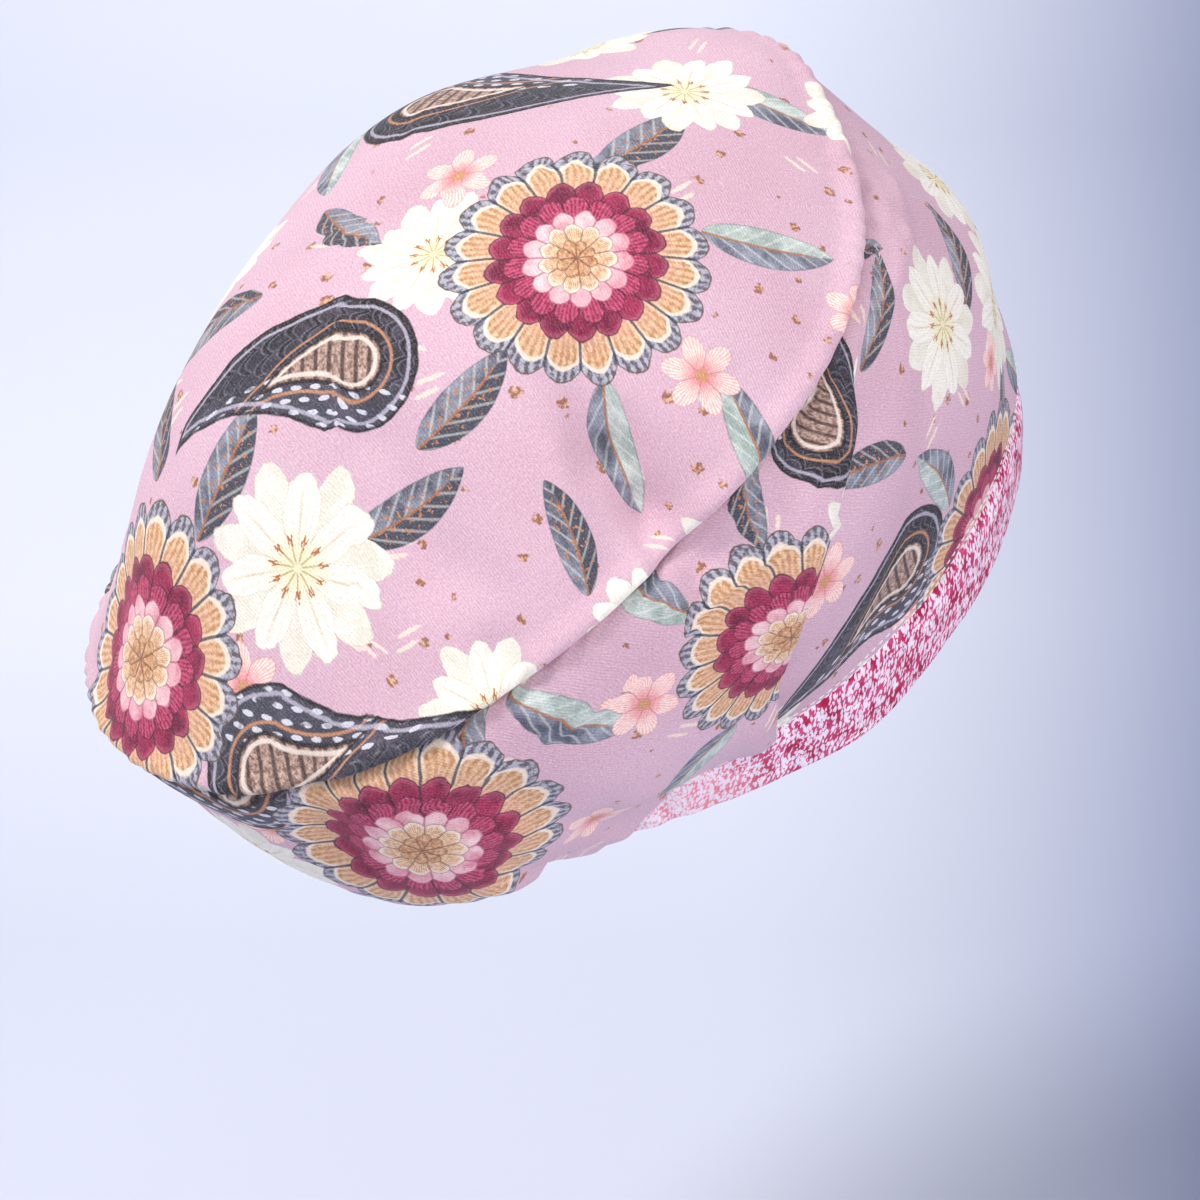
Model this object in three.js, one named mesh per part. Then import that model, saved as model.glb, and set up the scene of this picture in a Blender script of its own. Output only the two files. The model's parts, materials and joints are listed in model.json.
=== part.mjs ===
// A slouchy full-coverage scrub cap: a narrow folded band round the head
// opening, a wrap-around side panel with one tuck above each ear, and an oval
// crown panel. The side panel is in three lengths. Millimetres, +Z up. The wearer faces -Y, the wearer's right is
// -X, and the origin is the centre of the head opening.
import * as THREE from "three";

// ---- driving sizes ---------------------------------------------------------
const RIM_TILT_DEG = 30;        // the opening's plane: front edge up, nape down
const FABRIC_WALL = 1.5;        // jersey of the side and crown panels
const BAND_WALL = 2.2;          // the band is folded double
const SEAM_GAP = 0.3;           // clearance between neighbouring pieces
const COLUMNS_PER_STATION = 10; // grid columns between two stations
const BAND_STEPS = 2;           // grid rows of each piece
const SIDE_STEPS = 12;
const CROWN_STEPS = 11;

// ---- sections --------------------------------------------------------------
// Control rings from the opening's edge up to the crown's middle, in the cap's
// own frame before it is tilted: b is towards the back, h is up from the
// opening, x is the half width. Five stations: front, front quarter, side,
// back quarter and back. The other side mirrors them.
const RINGS = [
  // front | front quarter | side | back quarter | back
  { at: "edge",        fb: -122, fh: 0,  qx: 51, qb: -85, qh: 1,  sx: 75, sb: 0, sh: -5,  rx: 51, rb: 73, rh: 15,  bb: 106, bh: 1 },
  { at: "band_top",    fb: -127, fh: 19,  qx: 56, qb: -91, qh: 20,  sx: 78, sb: -1, sh: 15,  rx: 54, rb: 77, rh: 33,  bb: 109, bh: 21 },
  { at: "flare",       fb: -128, fh: 45,  qx: 67, qb: -90, qh: 47,  sx: 93, sb: 5, sh: 49,  rx: 73, rb: 109, rh: 39,  bb: 138, bh: 33 },
  { at: "lower",       fb: -129, fh: 82,  qx: 77, qb: -86, qh: 80,  sx: 111, sb: 13, sh: 76,  rx: 85, rb: 129, rh: 65,  bb: 165, bh: 64 },
  { at: "belly",       fb: -117, fh: 120,  qx: 83, qb: -76, qh: 106,  sx: 118, sb: 18, sh: 101,  rx: 84, rb: 136, rh: 91,  bb: 164, bh: 99 },
  { at: "crown_seam",  fb: -104, fh: 154,  qx: 79, qb: -62, qh: 126,  sx: 111, sb: 17, sh: 126,  rx: 76, rb: 143, rh: 105,  bb: 179, bh: 116 },
  { at: "shoulder",    fb: -81, fh: 163,  qx: 67, qb: -47, qh: 150,  sx: 92, sb: 17, sh: 149,  rx: 58, rb: 115, rh: 131,  bb: 159, bh: 134 },
  { at: "dome",        fb: -44, fh: 174,  qx: 51, qb: -28, qh: 178,  sx: 62, sb: 17, sh: 170,  rx: 43, rb: 89, rh: 170,  bb: 120, bh: 176 },
  { at: "top",         fb: -8, fh: 185,  qx: 27, qb: -2, qh: 188,  sx: 30, sb: 23, sh: 182,  rx: 24, rb: 65, rh: 188,  bb: 80, bh: 192 },
  { at: "middle",      fb: 27, fh: 186,  qx: 0, qb: 27, qh: 186,  sx: 0, sb: 27, sh: 186,  rx: 0, rb: 27, rh: 186,  bb: 27, bh: 186 },
];
const BAND_TOP = 1;    // ring numbers of the two seams
const CROWN_SEAM = 5;
const MIDDLE = RINGS.length - 1;

// ---- folds and dents -------------------------------------------------------
// Each runs between two places given by station and ring number. Stations
// count 0 front, 2 the wearer's right, 4 back, 6 the left. lift is outward,
// width is how far the fold reaches to each side of its line.
const FOLDS = [
  { name: "crown_front_ridge",  fromS: 7.45, fromR: 5.45, toS: 8.15, toR: 5.4,  width: 17, lift: 4.5 },
  { name: "front_shoulder",     fromS: 7.3,  fromR: 3.1,  toS: 8.7,  toR: 3.0,  width: 15, lift: 3.6 },
  { name: "bag_low_point",      fromS: 3.0,  fromR: 2.5,  toS: 3.45, toR: 2.3,  width: 24, lift: 5.0 },
  { name: "bag_low_left",       fromS: 4.7,  fromR: 2.4,  toS: 5.0,  toR: 2.5,  width: 24, lift: 3.5 },
  { name: "right_seam_dent",    fromS: 2.1,  fromR: 6.3,  toS: 2.2,  toR: 5.2,  width: 13, lift: -2.6 },
  { name: "left_seam_dent",     fromS: 5.7,  fromR: 6.2,  toS: 5.85, toR: 5.2,  width: 15, lift: -2.4 },
  { name: "right_pucker",       fromS: 0.82, fromR: 4.6,  toS: 1.2,  toR: 4.62, width: 7,  lift: 1.8 },
  { name: "left_pucker",        fromS: 7.18, fromR: 4.6,  toS: 6.85, toR: 4.62, width: 7,  lift: 1.5 },
  { name: "back_left_hollow",   fromS: 3.9,  fromR: 7.4,  toS: 3.8,  toR: 5.6,  width: 16, lift: -2.4 },
  { name: "back_right_hollow",  fromS: 3.1,  fromR: 7.2,  toS: 2.95, toR: 5.5,  width: 18, lift: -2.0 },
  { name: "left_crown_hollow",  fromS: 5.0,  fromR: 7.2,  toS: 5.0,  toR: 5.5,  width: 18, lift: -2.2 },
  { name: "right_nape_hollow",  fromS: 2.62, fromR: 1.15, toS: 3.05, toR: 1.35, width: 11, lift: -3.2 },
  { name: "left_nape_hollow",   fromS: 5.38, fromR: 1.15, toS: 4.95, toR: 1.35, width: 11, lift: -3.2 },
];
const SEAMS = [ // the fabric dips along each seam
  { ring: BAND_TOP,   width: 4,  dip: 0.8 },
  { ring: CROWN_SEAM, width: 6,  dip: 1.4 },
];

// ---- the tuck above each ear: its edge's station at each ring ---------------
const TUCK = [
  { ring: 1, station: 2.42 }, { ring: 2, station: 2.31 }, { ring: 3, station: 2.13 },
  { ring: 3.5, station: 2.0 }, { ring: 4, station: 1.8 }, { ring: 4.4, station: 1.59 },
  { ring: 4.7, station: 1.32 }, { ring: 5, station: 1.05 },
];
const TUCK_STATION = TUCK[0].station;
const TUCK_REACH_FRONT = 2.2;  // stations over which columns bend to follow it
const TUCK_REACH_BACK = 1.5;
const TUCK_LIFT = 3.2;         // the rear fabric lies this far over the front
const TUCK_STEP_MM = 2.6;      // width of the step at the tuck's edge
const TUCK_TAIL_MM = 24;       // how far back the lift fades out
const EAR_DIP = { station: 2.15, spread: 0.3, drop: 3 }; // the edge dips before the ear

// ---- spline ----------------------------------------------------------------
const spline = (t) => [
  (1 - t) ** 3 / 6, (3 * t ** 3 - 6 * t ** 2 + 4) / 6,
  (-3 * t ** 3 + 3 * t ** 2 + 3 * t + 1) / 6, t ** 3 / 6,
];
const control = RINGS.map((r) => {
  const half = [[0, r.fb, r.fh], [-r.qx, r.qb, r.qh], [-r.sx, r.sb, r.sh], [-r.rx, r.rb, r.rh], [0, r.bb, r.bh]];
  return [...half, ...[3, 2, 1].map((k) => [-half[k][0], half[k][1], half[k][2]])];
});
const below = control[0].map((p, k) => p.map((c, i) => 2 * c - control[1][k][i]));
const beyond = control[MIDDLE - 1].map((_, k) => control[MIDDLE - 1][(k + 4) % 8]);
const net = [below, ...control, beyond];
const tilt = (RIM_TILT_DEG * Math.PI) / 180;

// the smooth form at a station and ring number
function form(station, ring) {
  const s = ((station % 8) + 8) % 8;
  const i = Math.floor(s), bs = spline(s - i);
  const j = Math.min(Math.floor(ring), MIDDLE - 1), br = spline(ring - j);
  const p = [0, 0, 0];
  for (let a = 0; a < 4; a++) for (let c = 0; c < 4; c++) {
    const q = net[j + a][(i + c + 7) % 8], w = br[a] * bs[c];
    for (let k = 0; k < 3; k++) p[k] += w * q[k];
  }
  for (const side of [EAR_DIP.station, 8 - EAR_DIP.station]) {
    p[2] -= EAR_DIP.drop * Math.exp(-(((s - side) / EAR_DIP.spread) ** 2)) * Math.max(0, 1 - ring / BAND_TOP);
  }
  return new THREE.Vector3(p[0], p[1] * Math.cos(tilt) + p[2] * Math.sin(tilt), -p[1] * Math.sin(tilt) + p[2] * Math.cos(tilt));
}

// ---- tuck line and the columns that follow it -------------------------------
function tuckStation(ring) {
  const r = Math.min(Math.max(ring, TUCK[0].ring), TUCK[TUCK.length - 1].ring);
  let k = 0;
  while (k < TUCK.length - 2 && r > TUCK[k + 1].ring) k++;
  const a = TUCK[k], b = TUCK[k + 1];
  return a.station + ((b.station - a.station) * (r - a.ring)) / (b.ring - a.ring);
}
const above = (ring) => Math.max(0, 1 - Math.max(0, ring - CROWN_SEAM) / 3);
// column s at a ring: bent towards the tuck's line on both sides
function columnStation(s, ring) {
  const near = (q) => Math.max(0, 1 - (q < 0 ? -q / TUCK_REACH_FRONT : q / TUCK_REACH_BACK));
  const right = near(s - TUCK_STATION), left = near(8 - s - TUCK_STATION);
  const shift = (tuckStation(ring) - TUCK_STATION) * above(ring);
  return s + shift * right - shift * left;
}

// ---- displaced surface -----------------------------------------------------
const foldPaths = FOLDS.map((f) => {
  const path = [];
  for (let k = 0; k <= 16; k++) {
    const t = k / 16;
    path.push(form(f.fromS + (f.toS - f.fromS) * t, f.fromR + (f.toR - f.fromR) * t));
  }
  return path;
});
function normalOf(fn, s, ring) {
  const e = 0.01, lo = Math.max(ring - e, 0), hi = Math.min(ring + e, MIDDLE - 0.02);
  const ds = fn(s + e, ring).sub(fn(s - e, ring));
  const dr = fn(s, hi).sub(fn(s, lo));
  return dr.cross(ds).normalize();
}
const smooth = (x) => { const t = Math.min(Math.max(x, 0), 1); return t * t * (3 - 2 * t); };
const base = (s, ring) => form(columnStation(s, ring), ring);
const MM_PER_STATION = 84;

function lift(s, ring, p) {
  let d = 0;
  FOLDS.forEach((f, n) => {
    let near = Infinity;
    for (const q of foldPaths[n]) near = Math.min(near, p.distanceTo(q));
    d += f.lift * Math.exp(-((near / f.width) ** 2));
  });
  for (const m of SEAMS) {
    const mm = Math.abs(ring - m.ring) * (m.ring === BAND_TOP ? 24 : 29);
    d -= m.dip * Math.exp(-((mm / m.width) ** 2));
  }
  const fade = smooth((CROWN_SEAM - ring) / 0.8) * smooth((ring - BAND_TOP) / 0.12);
  if (fade > 0) {
    for (const q of [(s - TUCK_STATION) * MM_PER_STATION, (8 - s - TUCK_STATION) * MM_PER_STATION]) {
      // q runs from the front towards the back across the tuck's edge
      if (q >= 0 && q < TUCK_TAIL_MM) d += fade * TUCK_LIFT * (1 - smooth(q / TUCK_TAIL_MM));
      else if (q < 0 && q > -TUCK_STEP_MM) d += fade * TUCK_LIFT * (1 + q / TUCK_STEP_MM);
    }
  }
  return d;
}
function cloth(s, ring) {
  const p = base(s, ring);
  const n = normalOf(base, s, ring);
  return p.addScaledVector(n, lift(s, ring, p));
}

// ---- grid columns: even, with closer ones at each tuck's edge ---------------
function columns() {
  const out = [];
  for (let k = 0; k < 8 * COLUMNS_PER_STATION; k++) out.push(k / COLUMNS_PER_STATION);
  const step = TUCK_STEP_MM / MM_PER_STATION;
  for (const at of [TUCK_STATION, 8 - TUCK_STATION]) {
    const dir = at < 4 ? -1 : 1; // towards the front
    for (const off of [0, step, 2 * step]) out.push(at + dir * off);
  }
  out.sort((a, b) => a - b);
  return out.filter((s, k) => k === 0 || s - out[k - 1] > 0.012);
}
const COLS = columns();

// the side panel is built in three lengths that meet at these stations: just
// in front of each tuck's edge, and at centre back
const FRONT_END = TUCK_STATION - (TUCK_STEP_MM + 4) / MM_PER_STATION;
const CENTRE_BACK = 4;
const HALF_GAP = SEAM_GAP / 2 / MM_PER_STATION;
// the columns from one station round to another, ends included
function columnsBetween(from, to) {
  const span = (s) => (((s - from) % 8) + 8) % 8;
  const inner = COLS.filter((s) => span(s) > 0.03 && span(s) < span(to) - 0.03);
  inner.sort((a, b) => span(a) - span(b));
  return [from, ...inner, to];
}

// ---- a piece: outer skin, inner skin and its edges, as one closed mesh -------
// With no ends it goes all the way round; between two stations it has two ends.
function panel(fromRing, toRing, steps, wall, closedTop, ends) {
  const cols = ends ? columnsBetween(ends[0], ends[1]) : COLS;
  const rings = [];
  const last = closedTop ? steps - 1 : steps;
  for (let k = 0; k <= last; k++) rings.push(fromRing + ((toRing - fromRing) * k) / steps);
  const verts = [], tris = [];
  const outer = [], inner = [];
  const add = (v) => { verts.push(v.x, v.y, v.z); return verts.length / 3 - 1; };
  for (const r of rings) {
    const o = [], n = [];
    for (const s of cols) {
      const p = cloth(s, r);
      const nn = normalOf(cloth, s, r);
      o.push(add(p));
      n.push(add(p.clone().addScaledVector(nn, -wall)));
    }
    outer.push(o); inner.push(n);
  }
  const N = cols.length;
  const spans = ends ? N - 1 : N;
  const quad = (a, b, c, d) => { tris.push(a, b, c, a, c, d); };
  for (let j = 0; j + 1 < rings.length; j++) for (let i = 0; i < spans; i++) {
    const k = (i + 1) % N;
    quad(outer[j][i], outer[j + 1][i], outer[j + 1][k], outer[j][k]);
    quad(inner[j][i], inner[j][k], inner[j + 1][k], inner[j + 1][i]);
  }
  for (let i = 0; i < spans; i++) {
    const k = (i + 1) % N;
    quad(outer[0][i], outer[0][k], inner[0][k], inner[0][i]);
    if (!closedTop) {
      const j = rings.length - 1;
      quad(outer[j][i], inner[j][i], inner[j][k], outer[j][k]);
    }
  }
  if (ends) for (let j = 0; j + 1 < rings.length; j++) {
    const z = N - 1;
    quad(outer[j][0], inner[j][0], inner[j + 1][0], outer[j + 1][0]);
    quad(outer[j][z], outer[j + 1][z], inner[j + 1][z], inner[j][z]);
  }
  if (closedTop) {
    const j = rings.length - 1;
    const top = form(0, MIDDLE);
    const up = new THREE.Vector3(0, Math.sin(tilt), Math.cos(tilt));
    const a = add(top), b = add(top.clone().addScaledVector(up, -wall));
    for (let i = 0; i < N; i++) {
      const k = (i + 1) % N;
      tris.push(outer[j][i], a, outer[j][k]);
      tris.push(inner[j][i], inner[j][k], b);
    }
  }
  const g = new THREE.BufferGeometry();
  g.setAttribute("position", new THREE.Float32BufferAttribute(verts, 3));
  g.setIndex(tris);
  g.computeVertexNormals();
  return g;
}

function part(name, geometry, colour, roughness) {
  const mesh = new THREE.Mesh(geometry, new THREE.MeshStandardMaterial({ color: colour, roughness, metalness: 0 }));
  mesh.name = name;
  return mesh;
}

const gapBand = SEAM_GAP / 2 / 21;   // the seam gaps in ring numbers
const gapCrown = SEAM_GAP / 2 / 29;

const cap = new THREE.Group();
cap.add(part("band", panel(0, BAND_TOP - gapBand, BAND_STEPS, BAND_WALL, false), 0xc04a78, 0.85));
const SIDE_LENGTHS = [
  { name: "side_panel_front",      from: 8 - FRONT_END + HALF_GAP,   to: FRONT_END - HALF_GAP },
  { name: "side_panel_back_right", from: FRONT_END + HALF_GAP,       to: CENTRE_BACK - HALF_GAP },
  { name: "side_panel_back_left",  from: CENTRE_BACK + HALF_GAP,     to: 8 - FRONT_END - HALF_GAP },
];
for (const l of SIDE_LENGTHS) {
  cap.add(part(l.name, panel(BAND_TOP + gapBand, CROWN_SEAM - gapCrown, SIDE_STEPS, FABRIC_WALL, false, [l.from, l.to]), 0xd9a7b0, 0.85));
}
cap.add(part("crown_panel", panel(CROWN_SEAM + gapCrown, MIDDLE, CROWN_STEPS, FABRIC_WALL, true), 0xd9a7b0, 0.85));
export default cap;
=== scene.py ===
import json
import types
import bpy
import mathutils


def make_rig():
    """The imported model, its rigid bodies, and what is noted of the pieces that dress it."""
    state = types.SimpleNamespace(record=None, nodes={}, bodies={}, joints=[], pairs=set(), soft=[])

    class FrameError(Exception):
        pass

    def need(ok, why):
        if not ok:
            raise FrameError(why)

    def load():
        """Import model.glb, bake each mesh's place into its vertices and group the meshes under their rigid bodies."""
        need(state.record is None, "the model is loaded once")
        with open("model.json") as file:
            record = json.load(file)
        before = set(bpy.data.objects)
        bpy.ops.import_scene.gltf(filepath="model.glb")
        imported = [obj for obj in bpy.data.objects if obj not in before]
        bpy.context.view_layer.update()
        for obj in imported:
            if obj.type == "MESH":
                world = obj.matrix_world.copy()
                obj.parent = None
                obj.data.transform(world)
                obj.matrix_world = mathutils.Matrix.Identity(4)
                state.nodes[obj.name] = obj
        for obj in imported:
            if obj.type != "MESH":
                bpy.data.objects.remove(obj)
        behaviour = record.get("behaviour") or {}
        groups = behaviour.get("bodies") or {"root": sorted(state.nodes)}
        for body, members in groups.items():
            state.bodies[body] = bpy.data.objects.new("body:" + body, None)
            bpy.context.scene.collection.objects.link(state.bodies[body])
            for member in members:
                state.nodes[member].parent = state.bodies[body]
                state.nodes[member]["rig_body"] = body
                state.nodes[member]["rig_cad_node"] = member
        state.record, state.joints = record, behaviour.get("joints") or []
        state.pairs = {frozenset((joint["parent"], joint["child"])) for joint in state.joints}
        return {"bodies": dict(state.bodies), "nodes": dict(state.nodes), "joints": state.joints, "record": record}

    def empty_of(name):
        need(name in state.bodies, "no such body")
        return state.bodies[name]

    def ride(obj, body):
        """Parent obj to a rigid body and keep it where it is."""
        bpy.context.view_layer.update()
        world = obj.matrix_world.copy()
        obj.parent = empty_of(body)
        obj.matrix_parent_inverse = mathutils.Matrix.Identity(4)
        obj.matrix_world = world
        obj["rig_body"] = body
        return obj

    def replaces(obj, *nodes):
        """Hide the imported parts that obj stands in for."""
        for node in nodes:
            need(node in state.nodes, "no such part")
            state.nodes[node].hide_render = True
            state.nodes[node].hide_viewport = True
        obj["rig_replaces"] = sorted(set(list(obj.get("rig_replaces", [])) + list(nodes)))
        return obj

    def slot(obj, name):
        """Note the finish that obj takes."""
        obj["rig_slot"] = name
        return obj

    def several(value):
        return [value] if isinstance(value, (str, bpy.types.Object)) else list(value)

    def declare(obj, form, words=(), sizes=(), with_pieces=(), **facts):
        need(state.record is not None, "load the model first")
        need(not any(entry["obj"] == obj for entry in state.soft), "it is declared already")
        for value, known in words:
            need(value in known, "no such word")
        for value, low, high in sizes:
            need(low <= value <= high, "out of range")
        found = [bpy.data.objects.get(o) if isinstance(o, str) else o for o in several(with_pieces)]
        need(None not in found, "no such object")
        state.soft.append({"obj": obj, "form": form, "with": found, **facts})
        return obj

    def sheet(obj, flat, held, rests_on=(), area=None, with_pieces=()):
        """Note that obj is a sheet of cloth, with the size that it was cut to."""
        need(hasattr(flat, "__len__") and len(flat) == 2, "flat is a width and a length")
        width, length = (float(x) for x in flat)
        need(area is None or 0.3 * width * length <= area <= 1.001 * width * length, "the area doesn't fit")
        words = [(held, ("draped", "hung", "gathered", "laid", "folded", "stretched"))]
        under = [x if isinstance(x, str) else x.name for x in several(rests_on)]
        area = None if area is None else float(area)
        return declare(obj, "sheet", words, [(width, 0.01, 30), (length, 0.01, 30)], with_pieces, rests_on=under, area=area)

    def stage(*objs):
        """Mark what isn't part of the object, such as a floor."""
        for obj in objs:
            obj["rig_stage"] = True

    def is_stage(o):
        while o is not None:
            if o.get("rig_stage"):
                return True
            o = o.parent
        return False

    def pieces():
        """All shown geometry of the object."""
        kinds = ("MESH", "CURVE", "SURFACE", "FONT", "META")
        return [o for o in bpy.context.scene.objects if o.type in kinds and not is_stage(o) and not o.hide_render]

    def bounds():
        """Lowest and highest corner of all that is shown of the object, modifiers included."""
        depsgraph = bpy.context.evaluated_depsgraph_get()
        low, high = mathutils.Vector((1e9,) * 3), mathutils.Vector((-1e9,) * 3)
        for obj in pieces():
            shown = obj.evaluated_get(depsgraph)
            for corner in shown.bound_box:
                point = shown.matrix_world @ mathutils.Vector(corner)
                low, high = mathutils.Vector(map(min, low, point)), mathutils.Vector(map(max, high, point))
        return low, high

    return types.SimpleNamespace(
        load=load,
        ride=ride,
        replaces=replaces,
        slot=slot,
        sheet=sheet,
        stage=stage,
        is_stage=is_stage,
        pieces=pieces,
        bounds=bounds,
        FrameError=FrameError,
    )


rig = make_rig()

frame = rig.load()
import bpy, json, math
import numpy as np
from mathutils import Matrix, Vector

CAD_BOX = [list(map(float, c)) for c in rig.bounds()]
MM = 0.001

# =============================================================================
# the cap's form, in millimetres: the same sections and folds as the frame
# =============================================================================
TILT = math.radians(30)
COLUMNS = ("fb", "fh", "qx", "qb", "qh", "sx", "sb", "sh", "rx", "rb", "rh", "bb", "bh")
RINGS = [  # front b h | front quarter x b h | side x b h | back quarter x b h | back b h
    (-122, 0, 51, -85, 1, 75, 0, -5, 51, 73, 15, 106, 1),           # edge
    (-127, 19, 56, -91, 20, 78, -1, 15, 54, 77, 33, 109, 21),       # band top
    (-128, 45, 67, -90, 47, 93, 5, 49, 73, 109, 39, 138, 33),       # flare
    (-129, 82, 77, -86, 80, 111, 13, 76, 85, 129, 65, 165, 64),     # lower
    (-117, 120, 83, -76, 106, 118, 18, 101, 84, 136, 91, 164, 99),  # belly
    (-104, 154, 79, -62, 126, 111, 17, 126, 76, 143, 105, 179, 116),  # crown seam
    (-81, 163, 67, -47, 150, 92, 17, 149, 58, 115, 131, 159, 134),  # shoulder
    (-44, 174, 51, -28, 178, 62, 17, 170, 43, 89, 170, 120, 176),   # dome
    (-8, 185, 27, -2, 188, 30, 23, 182, 24, 65, 188, 80, 192),      # top
    (27, 186, 0, 27, 186, 0, 27, 186, 0, 27, 186, 27, 186),         # middle
]
FOLDS = [  # name, from station, ring, to station, ring, width, lift
    ("crown_front_ridge", 7.45, 5.45, 8.15, 5.4, 17, 4.5),
    ("front_shoulder", 7.3, 3.1, 8.7, 3.0, 15, 3.6),
    ("bag_low_point", 3.0, 2.5, 3.45, 2.3, 24, 5.0),
    ("bag_low_left", 4.7, 2.4, 5.0, 2.5, 24, 3.5),
    ("right_seam_dent", 2.1, 6.3, 2.2, 5.2, 13, -2.6),
    ("left_seam_dent", 5.7, 6.2, 5.85, 5.2, 15, -2.4),
    ("right_pucker", 0.82, 4.6, 1.2, 4.62, 7, 1.8),
    ("left_pucker", 7.18, 4.6, 6.85, 4.62, 7, 1.5),
    ("back_left_hollow", 3.9, 7.4, 3.8, 5.6, 16, -2.4),
    ("back_right_hollow", 3.1, 7.2, 2.95, 5.5, 18, -2.0),
    ("left_crown_hollow", 5.0, 7.2, 5.0, 5.5, 18, -2.2),
    ("right_nape_hollow", 2.62, 1.15, 3.05, 1.35, 11, -3.2),
    ("left_nape_hollow", 5.38, 1.15, 4.95, 1.35, 11, -3.2),
]
SOFT = [  # finer creases that only show in the cloth
    ("seam_pull_1", 2.28, 5.9, 2.32, 5.1, 5, -1.0),
    ("seam_pull_2", 2.6, 5.7, 2.62, 5.1, 5, -0.8),
    ("seam_pull_3", 1.75, 5.6, 1.8, 5.1, 5, -0.8),
    ("seam_pull_4", 3.2, 5.6, 3.22, 5.1, 6, -0.9),
    ("panel_pull_1", 2.75, 4.9, 2.7, 4.2, 6, -0.9),
    ("panel_pull_2", 3.2, 4.9, 3.3, 4.1, 7, -1.0),
    ("panel_pull_3", 1.75, 4.9, 1.95, 4.4, 5, -0.7),
    ("front_drag", 1.25, 3.9, 1.95, 1.6, 9, -1.1),
    ("front_drag_2", 0.5, 4.2, 0.9, 1.8, 11, -1.0),
    ("front_drag_left", 7.3, 4.2, 6.9, 1.8, 11, -1.0),
    ("left_seam_pull_1", 5.4, 5.7, 5.42, 5.1, 5, -0.9),
    ("left_seam_pull_2", 6.3, 5.6, 6.2, 5.1, 5, -0.8),
    ("left_panel_pull", 5.3, 4.9, 5.2, 4.1, 7, -1.0),
    ("back_panel_pull", 4.1, 4.9, 4.0, 4.0, 8, -1.0),
    ("bag_crease", 2.75, 2.0, 3.5, 1.75, 7, 1.4),
    ("crown_long_soft", 3.5, 7.6, 3.3, 5.6, 9, -1.2),
    ("crown_long_soft_2", 4.4, 7.5, 4.35, 5.6, 10, -1.3),
    ("crown_valley_1", 2.08, 6.54, 2.17, 6.04, 9, -3.0),
    ("crown_valley_2", 2.17, 6.04, 2.17, 5.44, 8, -4.6),
    ("crown_valley_3", 2.17, 5.44, 2.12, 4.68, 7, -3.2),
    ("crown_valley_4", 2.84, 6.9, 2.73, 6.04, 10, -3.1),
    ("crown_dimple", 2.66, 5.32, 2.64, 4.92, 6, -2.0),
    ("bag_valley_1", 3.26, 4.9, 3.41, 3.68, 9, -3.6),
    ("bag_valley_2", 2.86, 3.84, 2.76, 2.9, 9, -3.0),
    ("panel_valley", 2.14, 4.58, 2.25, 2.58, 10, -2.6),
    ("left_valley_1", 4.24, 7.0, 3.96, 6.74, 8, -1.5),
    ("left_valley_2", 3.63, 6.58, 3.79, 6.06, 9, -1.5),
    ("seam_ridge", 2.0, 6.1, 1.92, 5.3, 9, 1.4),
    ("crown_line_1", 2.166, 6.386, 2.168, 6.041, 3.6, -0.9),
    ("crown_line_2", 2.168, 6.041, 2.192, 5.604, 3.2, -1.7),
    ("crown_line_3", 2.192, 5.604, 2.213, 5.06, 3.0, -2.1),
    ("crown_line_ridge", 2.3, 6.2, 2.36, 5.5, 4.5, 1.2),
    ("panel_line_1", 2.179, 4.95, 2.198, 4.377, 4.0, -1.5),
    ("panel_line_2", 2.198, 4.377, 2.241, 3.911, 4.5, -1.0),
    ("strip_edge_1", 0.691, 4.399, 0.923, 4.385, 3.2, 0.9),
    ("strip_edge_2", 0.923, 4.385, 1.323, 4.659, 3.0, 1.2),
]
SEAMS = [(1, 4, 0.8, 24), (5, 2.4, 0.7, 29)]
TUCK = [(1, 2.42), (2, 2.31), (3, 2.13), (3.5, 2.0), (4, 1.8), (4.4, 1.59), (4.7, 1.32), (5, 1.05)]
EAR_DIP = (2.15, 0.3, 3.0)
MIDDLE = len(RINGS) - 1
GAP_BAND = 0.15 / 21
GAP_CROWN = 0.15 / 29


def control_net():
    out = []
    for row in RINGS:
        d = dict(zip(COLUMNS, row))
        half = [(0, d["fb"], d["fh"]), (-d["qx"], d["qb"], d["qh"]), (-d["sx"], d["sb"], d["sh"]),
                (-d["rx"], d["rb"], d["rh"]), (0, d["bb"], d["bh"])]
        out.append(half + [(-half[k][0], half[k][1], half[k][2]) for k in (3, 2, 1)])
    c = np.array(out, float)
    return np.concatenate([(2 * c[0] - c[1])[None], c, np.roll(c[-2], -4, axis=0)[None]])


NET = control_net()


def spline(t):
    return np.stack([(1 - t) ** 3 / 6, (3 * t**3 - 6 * t**2 + 4) / 6, (-3 * t**3 + 3 * t**2 + 3 * t + 1) / 6, t**3 / 6])


def form(s, r):
    s, r = np.broadcast_arrays(np.asarray(s, float), np.asarray(r, float))
    s = np.mod(s, 8.0)
    i = np.floor(s).astype(int) % 8
    bs = spline(s - np.floor(s))
    j = np.clip(np.floor(r).astype(int), 0, MIDDLE - 1)
    br = spline(r - j)
    p = np.zeros(s.shape + (3,))
    for a in range(4):
        for c in range(4):
            p += NET[j + a, (i + c - 1) % 8] * (br[a] * bs[c])[..., None]
    for side in (EAR_DIP[0], 8 - EAR_DIP[0]):
        p[..., 2] -= EAR_DIP[2] * np.exp(-(((s - side) / EAR_DIP[1]) ** 2)) * np.maximum(0, 1 - r)
    out = p.copy()
    out[..., 1] = p[..., 1] * math.cos(TILT) + p[..., 2] * math.sin(TILT)
    out[..., 2] = -p[..., 1] * math.sin(TILT) + p[..., 2] * math.cos(TILT)
    return out


def unit(v):
    return v / np.maximum(np.linalg.norm(v, axis=-1, keepdims=True), 1e-9)


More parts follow.
